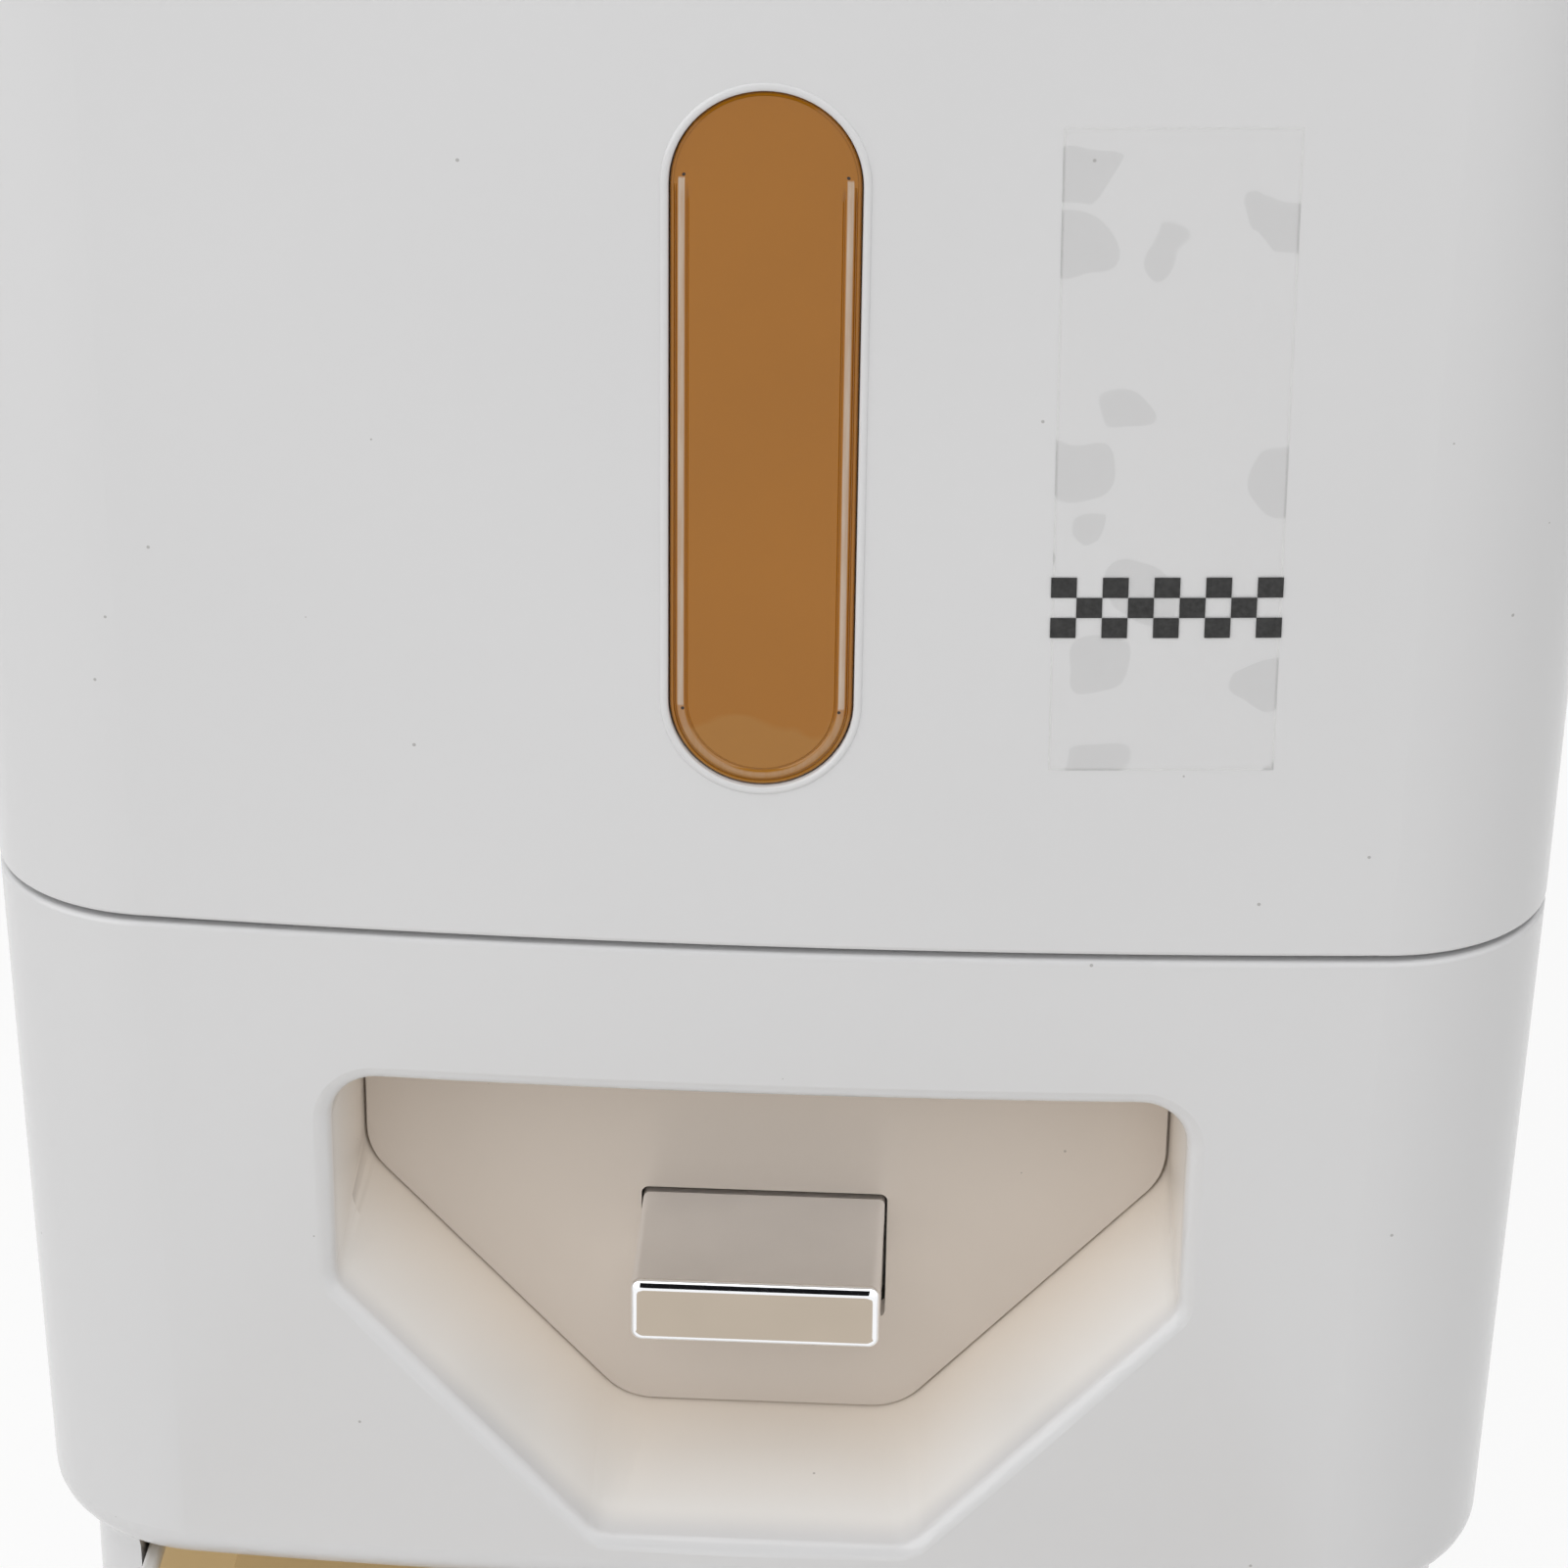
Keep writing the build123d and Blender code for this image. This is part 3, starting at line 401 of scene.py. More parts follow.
def inner_polypropylene(finish):
    """Polypropylene, moulded in a sparked tool: satin, waxy white with a fine even grain."""
    return surfaced(
        "Polypropylene_satin_moulded", finish.inner, shaded(finish.inner, 0.97),
        Sheen(low=0.38, high=0.52, smear=12, grain=0.5, depth=0.01), patch=60, detail=1.0, IOR=1.49,
    )


def sliding_acetal(finish):
    """Acetal, moulded: dense, slippery off-white with rubbed tracks along its travel."""
    return surfaced(
        "Acetal_satin_moulded", finish.sliding, shaded(finish.sliding, 0.88),
        Sheen(low=0.28, high=0.42, smear=6, grain=0.6, depth=0.008),
        patch=4, stretch=(1.0, 0.08, 1.0), IOR=1.48,
    )


def tray_polypropylene(finish):
    """Gloss polypropylene of the drawer: white front and rim, and an inside painted a darker warm tan as
    shade, with a painted glow that lights it though no lamp is there.
    """
    # Painted light: the emission makes the drawer's inside glow, though it is no lamp
    material, tree, shader, coords = start("Polypropylene_gloss_tray", IOR=1.49, Emission_Strength=0.3)
    low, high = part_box("drawer_tray")
    wall, rim, front_radius = 1.4 * MM, 1.2 * MM, 998 * MM
    place = add(tree, "SeparateXYZ", {"Vector": coords}, None).outputs
    beside = add(tree, "Math ABSOLUTE", {0: place["X"]})
    slant = add(tree, "Math MULTIPLY", {0: place["X"], 1: 0.5 / front_radius})
    fall = add(tree, "Math MULTIPLY", {0: slant, 1: place["X"]})
    behind = add(tree, "Math SUBTRACT", {0: place["Y"], 1: fall})
    share = within(tree, [
        ("LESS_THAN", beside, high.x - wall),
        ("GREATER_THAN", behind, low.y + wall),
        ("LESS_THAN", place["Y"], high.y - wall),
        ("LESS_THAN", place["Z"], high.z - rim),
        ("GREATER_THAN", place["Z"], low.z + wall),
    ])
    # Painted shade inside the drawer's walls, with a painted glow there
    shade = shaded(finish.tray_inside_painted_shade, 0.95)
    inside = mottle(tree, coords, finish.tray_inside_painted_shade, shade, patch=50, detail=1.0)
    tone = add(tree, "Mix RGBA", {0: share, 6: finish.tray, 7: inside}, 2)
    tree.links.new(tone, shader.inputs["Base Color"])
    glow = add(tree, "Mix RGBA", {0: share, 6: (0, 0, 0, 1), 7: finish.tray_painted_glow}, 2)
    tree.links.new(glow, shader.inputs["Emission Color"])
    sheen_and_grain(tree, shader, coords, Sheen(low=0.25, high=0.27, smear=120, grain=1.2, depth=0.004))
    return material


def stadium_sizes(sizes):
    """Middle height, end radius and half the straight length of the window's opening."""
    low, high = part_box("window_pane")
    middle = (low.z + high.z) / 2
    radius = high.x - sizes.flange
    return middle, radius, high.z - middle - sizes.flange - radius


def railed(tree, coords, base, finish, sizes):
    """A colour with pale bands painted on the pane's side ribs as the light in them, and a dark dot painted
    at each end of a rib as shade.
    """
    middle, radius, half_straight = stadium_sizes(sizes)
    rib = sizes.gap + sizes.border + sizes.rib_width / 2
    band_edge, band_core = 0.42 * sizes.rib_width, 0.3 * sizes.rib_width
    end_fade, end_full, lower_share = 0.9 * MM, 0.6 * MM, 0.3
    streak_width, streak_draw = 0.5, (1.0, 1.0, 0.06)
    end_shade_edge, end_shade_core = 0.24 * MM, 0.16 * MM
    end_shade_place = (-0.2 * MM, half_straight + 1.1 * MM, 0)
    place = add(tree, "SeparateXYZ", {"Vector": coords}, None).outputs
    beside = add(tree, "Math ABSOLUTE", {0: place["X"]})
    rise = add(tree, "Math SUBTRACT", {0: place["Z"], 1: middle})
    far = add(tree, "Math ABSOLUTE", {0: rise})
    past = add(tree, "Math SUBTRACT", {0: far, 1: half_straight})
    over = add(tree, "Math MAXIMUM", {0: past, 1: 0.0})
    spoke = add(tree, "CombineXYZ", {"X": beside, "Y": over})
    out = add(tree, "VectorMath LENGTH", {0: spoke}, "Value")
    aside = add(tree, "Math SUBTRACT", {0: out, 1: radius - rib})
    reach = add(tree, "Math ABSOLUTE", {0: aside})
    # Painted light: pale, streaked bands along the ribs
    band = add(tree, "MapRange", {"Value": reach, "From Min": band_edge, "From Max": band_core})
    sides = add(tree, "MapRange", {"Value": past, "From Min": end_fade, "From Max": end_full})
    lower_half = {"From Min": 0.0, "From Max": -half_straight, "To Max": lower_share}
    lower = add(tree, "MapRange", {"Value": rise, **lower_half})
    along = add(tree, "Math MAXIMUM", {0: sides, 1: lower})
    streak = add(tree, "Mapping", {"Vector": coords, "Scale": streak_draw})
    patchy = patches(tree, streak, streak_width, detail=2.0, low=0.65)
    lit = add(tree, "Math MULTIPLY", {0: band, 1: along})
    share = add(tree, "Math MULTIPLY", {0: lit, 1: patchy})
    pale = add(tree, "Mix RGBA", {0: share, 6: base, 7: finish.rib_painted_light}, 2)
    # Painted shade: a dark dot at each end of a rib
    flat = add(tree, "CombineXYZ", {"X": aside, "Y": far})
    mark = add(tree, "VectorMath DISTANCE", {0: flat, 1: end_shade_place}, "Value")
    dark = add(tree, "MapRange", {"Value": mark, "From Min": end_shade_edge, "From Max": end_shade_core})
    return add(tree, "Mix RGBA", {0: dark, 6: pale, 7: finish.rib_end_painted_shade}, 2)


def amber_styrene(finish, sizes):
    """Tinted clear styrene: deep even amber, hard gloss, paler near its lower end below a wavy line."""
    material, tree, shader, coords = start("Styrene_clear_amber", IOR=1.5)
    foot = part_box("window_pane")[0].z
    pale_top, pale_full = foot + 3.4 * MM, foot + 2.4 * MM
    wave_size, wave_height = 7, 14 * MM
    # Paler towards the window's lower end, below a wavy line
    height = add(tree, "SeparateXYZ", {"Vector": coords}, "Z")
    wave = add(tree, "TexNoise", {"Vector": coords, "Scale": per_metre(wave_size), "Detail": 1.0}, "Fac")
    lifted = add(tree, "Math MULTIPLY_ADD", {0: wave, 1: -wave_height, 2: height})
    bloom = add(tree, "MapRange", {"Value": lifted, "From Min": pale_top, "From Max": pale_full})
    body = mottle(tree, coords, finish.amber, shaded(finish.amber, 0.94), patch=25)
    tone = add(tree, "Mix RGBA", {0: bloom, 6: body, 7: finish.amber_lower_tone}, 2)
    tree.links.new(railed(tree, coords, tone, finish, sizes), shader.inputs["Base Color"])
    sheen_and_grain(tree, shader, coords, Sheen(low=0.05, high=0.12, smear=10, grain=2.5, depth=0.002))
    return material


def chrome_plating(finish):
    """Bright chrome over moulded ABS: mirror-like, with a haze of fingerprints and slow ripples."""
    return surfaced(
        "Chrome_plated_ABS", finish.chrome, shaded(finish.chrome, 0.96),
        Sheen(low=0.06, high=0.1, smear=8, grain=6.0, depth=0.002), patch=9, detail=1.0, Metallic=1.0,
    )


def plated_steel(finish):
    """Zinc-plated steel, drawn and turned: bright grey with fine lines along the bar."""
    return surfaced(
        "Steel_zinc_plated", finish.steel, shaded(finish.steel, 0.72),
        Sheen(low=0.24, high=0.4, smear=1.5, grain=0.3, depth=0.004),
        patch=0.4, stretch=(0.05, 1.0, 1.0), Metallic=1.0,
    )


def spring_wire(finish):
    """Spring steel wire, drawn and oiled: dark grey with a wet shine."""
    return surfaced(
        "Steel_spring_wire_oiled", finish.wire, shaded(finish.wire, 0.7),
        Sheen(low=0.2, high=0.36, smear=1.2, grain=0.25, depth=0.004), patch=0.8, Metallic=1.0,
    )


def foot_rubber(finish):
    """Moulded rubber: dull black, dusty in patches, with a fine grain."""
    return surfaced(
        "Rubber_moulded_black", finish.rubber, shaded(finish.rubber, 1.7, lift=0.01),
        Sheen(low=0.66, high=0.86, smear=3, grain=0.35, depth=0.02), patch=3, IOR=1.52,
    )


def seal_silicone(finish):
    """Moulded silicone: milky and soft-looking, with a slight tack."""
    return surfaced(
        "Silicone_milky_moulded", finish.silicone, shaded(finish.silicone, 0.92),
        Sheen(low=0.42, high=0.6, smear=5, grain=0.5, depth=0.006),
        patch=8, IOR=1.41, Subsurface_Weight=0.25, Subsurface_Scale=0.003,
    )


def print_ink(finish):
    """Screen-printed black ink: flat and dense, thinner in tiny pinholes."""
    return surfaced(
        "Ink_screen_printed_black", finish.ink, shaded(finish.ink, 1.0, lift=0.02),
        Sheen(low=0.36, high=0.5, smear=2, grain=0.3, depth=0.003), patch=0.6, IOR=1.5,
    )


def label_film(finish, sizes):
    """Clear adhesive film: a thin veil, darker in blots where glue wetted the shell, with a painted
    highlight along its edges.
    """
    material, tree, shader, coords = start("Polyester_clear_film", IOR=1.6)
    wander_size, blot_spacing, bare_share = 7, 8.5, 0.55
    blot_edge = {"From Min": 0.48, "From Max": 0.46}
    veil_ends = {"To Min": 0.02, "To Max": 0.05}
    painted_edge_highlight = {"From Min": 0.35 * MM, "From Max": 0.15 * MM, "To Max": 0.1}
    drift = {"Scale": per_metre(wander_size), "Detail": 0.0}
    noise = add(tree, "TexNoise", {"Vector": coords, **drift}, "Color")
    wander = add(tree, "VectorMath MULTIPLY_ADD", {0: noise, 1: [wander_size * MM] * 3, 2: coords})
    cells = add(tree, "TexVoronoi", {"Vector": wander, "Scale": per_metre(blot_spacing)}, None).outputs
    disc = add(tree, "MapRange", {"Value": cells["Distance"], **blot_edge})
    chosen = add(tree, "Math GREATER_THAN", {0: cells["Color"], 1: bare_share})
    blot = add(tree, "Math MULTIPLY", {0: disc, 1: chosen})
    tone = add(tree, "Mix RGBA", {0: blot, 6: finish.film, 7: finish.film_patch}, 2)
    tree.links.new(tone, shader.inputs["Base Color"])
    veil = add(tree, "MapRange", {"Value": blot, **veil_ends})
    sheet = add(tree, "TexCoord", out="UV")
    spot = add(tree, "SeparateXYZ", {"Vector": sheet}, None).outputs
    insets = []
    for axis, size in (("X", sizes.width), ("Y", sizes.height)):
        off = add(tree, "Math SUBTRACT", {0: spot[axis], 1: 0.5})
        far = add(tree, "Math ABSOLUTE", {0: off})
        inward = add(tree, "Math SUBTRACT", {0: 0.5, 1: far})
        insets.append(add(tree, "Math MULTIPLY", {0: inward, 1: size}))
    nearest = add(tree, "Math MINIMUM", {0: insets[0], 1: insets[1]})
    # Painted highlight: the film is more opaque, so lighter, along its edges
    edge = add(tree, "MapRange", {"Value": nearest, **painted_edge_highlight})
    total = add(tree, "Math ADD", {0: veil, 1: edge})
    tree.links.new(total, shader.inputs["Alpha"])
    sheen_and_grain(tree, shader, coords, Sheen(low=0.26, high=0.36, smear=7, grain=0.9, depth=0.004))
    return material


def dress(nodes, material):
    """Gives CAD nodes a material in place of their plain one."""
    for name in nodes:
        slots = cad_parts[name].material_slots
        if not slots:
            raise RuntimeError(f"{name} has no material slot")
        for slot in slots:
            slot.material = material


def smooth(mesh, sharp_degrees):
    """Shades a mesh smooth, apart from edges sharper than an angle."""
    mesh.polygons.foreach_set("use_smooth", [True] * len(mesh.polygons))
    mesh.set_sharp_from_angle(angle=math.radians(sharp_degrees))


def piece_from(name, shape, material):
    """Object of a finished bmesh, with its faces turned outwards and smooth up to an angle."""
    bmesh.ops.remove_doubles(shape, verts=shape.verts, dist=1e-7)
    bmesh.ops.recalc_face_normals(shape, faces=shape.faces)
    mesh = bpy.data.meshes.new(name)
    shape.to_mesh(mesh)
    shape.free()
    smooth(mesh, sharp_degrees=35)
    mesh.materials.append(material)
    obj = bpy.data.objects.new(name, mesh)
    bpy.context.scene.collection.objects.link(obj)
    return obj


def settle(obj, body, slot, *nodes):
    """Rides a piece on its body and hides the nodes that it stands for; its slot is not used."""
    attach(obj, body)
    if nodes:
        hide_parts(*nodes)


def bow(x, crown):
    """Depth of the bowed front at a place across it."""
    return FRONT_Y + crown - math.sqrt(crown**2 - x**2)


def stadium(half_straight, arc_steps, side_steps):
    """Right half of a stadium from its top to its bottom: unit way out, and the height of its centre."""
    points = []
    for step in range(arc_steps + 1):
        turn = math.pi / 2 * (1 - step / arc_steps)
        points.append((math.cos(turn), math.sin(turn), half_straight))
    for step in range(1, side_steps):
        points.append((1.0, 0.0, half_straight * (1 - 2 * step / side_steps)))
    for step in range(arc_steps + 1):
        turn = -math.pi / 2 * step / arc_steps
        points.append((math.cos(turn), math.sin(turn), -half_straight))
    return points


def ring_of(shape, points, reach, depth_at):
    """Closed ring of vertices round a stadium with a reach from its middle line."""
    half = [
        (out_x * reach, depth_at(centre_z), centre_z + out_z * reach) for out_x, out_z, centre_z in points
    ]
    mirrored = [(-x, y, z) for x, y, z in reversed(half[1:-1])]
    return [shape.verts.new(place) for place in half + mirrored]


def bridge(shape, rings):
    """Quads between neighbouring rings."""
    for low, high in zip(rings, rings[1:]):
        for at in range(len(low)):
            after = (at + 1) % len(low)
            shape.faces.new((low[at], low[after], high[after], high[at]))


def close(shape, ring):
    """Flat end across a mirrored ring, as a ladder of quads with a triangle at each end."""
    for at in range(len(ring) // 2):
        corners = [ring[at], ring[at + 1], ring[-at - 1], ring[-at]] if at else [ring[0], ring[1], ring[-1]]
        shape.faces.new(list(dict.fromkeys(corners)))


class RICE_OT_shells(bpy.types.Operator):
    """Finish the white shells, the plate in the recess and the drawer"""

    bl_idname = "rice.shells"
    bl_label = "Shells, plate and drawer"

    def execute(self, context):
        finish = context.scene.rice_plastic
        dress(["hopper_shell", "lid_shell"], shell_abs(finish))
        dress(["base_shell"], base_abs_painted_recess_light(finish))
        dress(["recess_plate"], plate_abs_painted_warm_shade(finish))
        dress(["drawer_tray"], tray_polypropylene(finish))
        return {"FINISHED"}


class RICE_OT_mechanism(bpy.types.Operator):
    """Finish the mouldings, pins and feet of the mechanism, the floor and the lid"""

    bl_idname = "rice.mechanism"
    bl_label = "Mechanism, liner and feet"

    def execute(self, context):
        plastic = context.scene.rice_plastic
        metal = context.scene.rice_metal
        white = inner_polypropylene(plastic)
        dress(["chassis_plate", "bottom_plate", "measure_chamber", "hopper_funnel", "lid_liner"], white)
        dress(["gate_frame", "lever_arm"], sliding_acetal(plastic))
        dress(["lever_axle", "axle_clips", "hinge_pin_left", "hinge_pin_right"], plated_steel(metal))
        dress(["lid_gasket"], seal_silicone(metal))
        feet = [f"foot_{end}_{side}" for end in ("front", "rear") for side in ("left", "right")]
        dress(feet, foot_rubber(metal))
        return {"FINISHED"}


class RICE_OT_lever(bpy.types.Operator):
    """Build the plated cap of the push lever, drafted and rounded"""

    bl_idname = "rice.lever"
    bl_label = "Lever cap"

    def execute(self, context):
        sizes = context.scene.rice_lever
        low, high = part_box("lever_cap")
        front, rear = sizes.corner_round, sizes.rear_round
        rows = [(low.y, sizes.front_round + sizes.support, 0.0, front)]
        for step in range(sizes.arc_steps + 1):
            turn = math.pi / 2 * step / sizes.arc_steps
            inset = sizes.front_round * (1 - math.sin(turn))
            rows.append((low.y + sizes.front_round * (1 - math.cos(turn)), inset, 0.0, front))
        rows.append((low.y + sizes.front_round + sizes.support, 0.0, 0.0, front))
        rows.append((high.y, 0.0, sizes.top_draft, rear))
        shape = bmesh.new()
        rings = [self.ring(shape, sizes, low, high, *row) for row in rows]
        bridge(shape, rings)
        shape.faces.new(reversed(rings[0]))
        shape.faces.new(rings[-1])
        cap = piece_from("lever_cap_plated", shape, chrome_plating(context.scene.rice_metal))
        settle(cap, "lever", "lever_chrome", "lever_cap")
        return {"FINISHED"}

    def ring(self, shape, sizes, low, high, y, inset, rise, corner):
        """Ring of vertices round an oblong with rounded corners, drawn in by inset and raised at its top."""
        half_x = high.x + sizes.plating - inset
        half_z = (high.z + rise - low.z) / 2 - inset
        middle_z = (high.z + rise + low.z) / 2
        radius = corner - inset / 2
        places = []
        for quarter in range(4):
            begin = math.pi / 2 * quarter
            round_x = (half_x - radius) * (1 if quarter in (0, 3) else -1)
            round_z = (half_z - radius) * (1 if quarter in (0, 1) else -1)
            arc = []
            for step in range(sizes.arc_steps + 1):
                turn = begin + math.pi / 2 * step / sizes.arc_steps
                arc.append((round_x + radius * math.cos(turn), round_z + radius * math.sin(turn)))
            along, across = sizes.support * math.sin(begin), sizes.support * math.cos(begin)
            places.append((arc[0][0] + along, arc[0][1] - across))
            places += arc
            places.append((arc[-1][0] - across, arc[-1][1] - along))
        return [shape.verts.new((x, y, middle_z + z)) for x, z in places]


class RICE_OT_window(bpy.types.Operator):
    """Build the amber level window with its ribbed border, and the rolled lip of its opening"""

    bl_idname = "rice.window"
    bl_label = "Level window"

    # Round of the pane's edge: how far in from the edge, and how far behind the face, in millimetres
    edge_round = ((0.0, 0.5), (0.06, 0.22), (0.2, 0.06), (0.45, 0.0))
    rib_steps = 8
    groove_steps = 3
    rib_height_share = 0.25
    outer_groove_share = 0.7
    inner_groove_share = 0.45
    groove_start_share = 0.97
    flat_start_share = 1.7
    lip_overlap_share = 0.05
    lip_sink_share = 0.3

    def execute(self, context):
        sizes = context.scene.rice_window
        low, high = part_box("window_pane")
        middle, radius, half_straight = stadium_sizes(sizes)
        points = stadium(half_straight, sizes.arc_steps, sizes.side_steps)
        groove_start = half_straight * self.groove_start_share
        shape = bmesh.new()
        rings = []
        for inset, back, groove in self.profile(sizes, high.y - low.y):
            plain, grooved = low.y + back, low.y + back + groove
            rings.append(ring_of(
                shape, points, radius - inset,
                lambda centre_z, ends=(plain, grooved): ends[0] if centre_z > groove_start else ends[1],
            ))
        bridge(shape, rings)
        close(shape, rings[0])
        close(shape, rings[-1])
        bmesh.ops.translate(shape, verts=shape.verts, vec=(0, 0, middle))
        pane = piece_from("window_pane_grooved", shape, amber_styrene(context.scene.rice_plastic, sizes))
        settle(pane, "base", "window_amber", "window_pane")
        self.lip(context, sizes, points, radius, middle)
        return {"FINISHED"}

    def lip(self, context, sizes, points, radius, middle):
        """Low rolled lip round the opening, on the bowed front of the shell."""
        crown = context.scene.rice_label.crown
        overlap = self.lip_overlap_share
        shape = bmesh.new()
        rings = []
        for step in range(sizes.lip_steps + 1):
            turn = math.pi * (step / sizes.lip_steps * (1 + 2 * overlap) - overlap)
            out = sizes.lip_width * (0.5 - 0.5 * math.cos(turn))
            rise = sizes.lip_height * (math.sin(turn) - self.lip_sink_share)
            rings.append(ring_of(shape, points, radius + out, lambda centre_z, rise=rise: -rise))
        bridge(shape, rings + rings[:1])
        for vert in shape.verts:
            vert.co.y += bow(vert.co.x, crown)
        bmesh.ops.translate(shape, verts=shape.verts, vec=(0, 0, middle))
        ring = piece_from("window_lip", shape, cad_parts["hopper_shell"].material_slots[0].material)
        settle(ring, "base", "shell_white")

    def profile(self, sizes, depth):
        """Insets, depths behind the face and groove depths, from the hidden back to the face's middle."""
        edge = sizes.gap
        near = edge + sizes.border
        flange_front = depth - sizes.flange_thickness
        rows = [(-sizes.flange, depth, 0), (-sizes.flange, flange_front, 0), (edge, flange_front, 0)]
        rows += [(edge + inset * MM, back * MM, 0) for inset, back in self.edge_round]
        for step in range(-self.groove_steps, self.rib_steps + self.groove_steps + 1):
            share = step / self.rib_steps
            if 0 < share < 1:
                dip = -self.rib_height_share * math.sin(math.pi * share)
            else:
                over = min(abs(step), abs(step - self.rib_steps)) / self.groove_steps
                deep = self.outer_groove_share if share < 0.5 else self.inner_groove_share
                dip = deep * math.sin(math.pi * over) ** 2
            rows.append((near + sizes.rib_width * share, 0, dip * sizes.groove_depth))
        rows.append((near + sizes.rib_width * self.flat_start_share, 0, 0))
        return rows


def bowed_slab(sizes, back, front):
    """Thin film bent to the bowed front, tilted, between two distances in front of the shell, with a UV."""
    shape = bmesh.new()
    turn = Matrix.Rotation(sizes.tilt, 2)
    spots = {}
    layers = []
    for lift in (back, front):
        rows = []
        for u in (step / sizes.steps for step in range(sizes.steps + 1)):
            row = []
            for v in (0.0, 1.0):
                flat = turn @ Vector(((u - 0.5) * sizes.width, (v - 0.5) * sizes.height))
                x = flat.x + sizes.centre_x
                place = (x, bow(x, sizes.crown) - lift, flat.y + SEAM_Z + sizes.centre_rise)
                row.append(shape.verts.new(place))
                spots[row[-1]] = (u, v)
            rows.append(row)
        layers.append(rows)
    for rows in layers:
        for left, right in zip(rows, rows[1:]):
            shape.faces.new((left[0], right[0], right[1], left[1]))
    bmesh.ops.bridge_loops(shape, edges=[edge for edge in shape.edges if edge.is_boundary])
    layer = shape.loops.layers.uv.new("UVMap")
    for face in shape.faces:
        for loop in face.loops:
            loop[layer].uv = spots[loop.vert]
    return shape


def open_tree(name, sockets):
    """New geometry tree with inputs of the given names and kinds, and those inputs."""
    tree = bpy.data.node_groups.new(name, "GeometryNodeTree")
    tree.interface.new_socket("Geometry", in_out="OUTPUT", socket_type="NodeSocketGeometry")
    for kind, names in sockets.items():
        for socket in names:
            tree.interface.new_socket(socket, in_out="INPUT", socket_type="NodeSocket" + kind)
    return tree, add(tree, "GroupInput", out=None).outputs


def end_tree(tree, geometry, material):
    """Ends a tree in plain geometry with a material."""
    whole = add(tree, "RealizeInstances", {"Geometry": geometry})
    painted = add(tree, "SetMaterial", {"Geometry": whole, "Material": material})
    add(tree, "GroupOutput", {"Geometry": painted}, None)


def named(sizes):
    """Values of a property group by the names that its panel shows, which trees use for their inputs."""
    return {sizes.bl_rna.properties[key].name: getattr(sizes, key) for key in type(sizes).__annotations__}


def grow(name, tree, values):
    """Plain mesh object that a node tree makes from its named inputs."""
    obj = bpy.data.objects.new(name, bpy.data.meshes.new(name))
    bpy.context.scene.collection.objects.link(obj)
    modifier = obj.modifiers.new(tree.name, "NODES")
    modifier.node_group = tree
    for item in tree.interface.items_tree:
        if item.in_out == "INPUT":
            modifier[item.identifier] = values[item.name]
    graph = bpy.context.evaluated_depsgraph_get()
    mesh = bpy.data.meshes.new_from_object(obj.evaluated_get(graph))
    if not mesh.polygons:
        raise RuntimeError(f"the node tree {tree.name} made no faces for {name}")
    obj.modifiers.remove(modifier)
    obj.data = mesh
    mesh.name = name
    return obj


def check_tree(material):
    """Node tree of the check band: alternate cells of a grid, bent to the bowed front."""
    tree, given = open_tree("check_band", {
        "Int": ("Columns", "Rows"),
        "Float": (
            "Cell width", "Cell height", "Band width", "Band height",
            "Ink thickness", "Tilt", "Crown", "Front",
        ),
        "Vector": ("Middle",),
    })
    band = {"Size X": given["Band width"], "Size Y": given["Band height"]}
    centres = add(
        tree, "MeshGrid", {**band, "Vertices X": given["Columns"], "Vertices Y": given["Rows"]}, "Mesh"
    )
    oblong = {"Size X": given["Cell width"], "Size Y": given["Cell height"]}
    cell = add(tree, "MeshGrid", {**oblong, "Vertices X": 2, "Vertices Y": 2}, "Mesh")
    index = add(tree, "InputIndex")
    parity = add(tree, "Math MODULO", {0: index, 1: 2.0})
    even = add(tree, "Math LESS_THAN", {0: parity, 1: 0.5})
    checks = add(tree, "InstanceOnPoints", {"Points": centres, "Selection": even, "Instance": cell})
    plain = add(tree, "RealizeInstances", {"Geometry": checks})
    lean = add(tree, "CombineXYZ", {"Z": given["Tilt"]})
    tilted = add(tree, "Transform", {"Geometry": plain, "Rotation": lean})
    stand = {"Translation": given["Middle"], "Rotation": (math.pi / 2, 0, 0)}
    upright = add(tree, "Transform", {"Geometry": tilted, **stand})
    position = add(tree, "InputPosition")
    place = add(tree, "SeparateXYZ", {"Vector": position}, None).outputs
    across = add(tree, "Math MULTIPLY", {0: place["X"], 1: place["X"]})
    square = add(tree, "Math MULTIPLY", {0: given["Crown"], 1: given["Crown"]})
    rest = add(tree, "Math SUBTRACT", {0: square, 1: across})
    root = add(tree, "Math SQRT", {0: rest})
    fall = add(tree, "Math SUBTRACT", {0: given["Crown"], 1: root})
    depth = add(tree, "Math ADD", {0: given["Front"], 1: fall})
    bent_place = add(tree, "CombineXYZ", {"X": place["X"], "Y": depth, "Z": place["Z"]})
    bent = add(tree, "SetPosition", {"Geometry": upright, "Position": bent_place})
    print_height = {"Offset Scale": given["Ink thickness"], "Individual": True}
    raised = add(tree, "ExtrudeMesh", {"Mesh": bent, **print_height}, "Mesh")
    end_tree(tree, raised, material)
    return tree


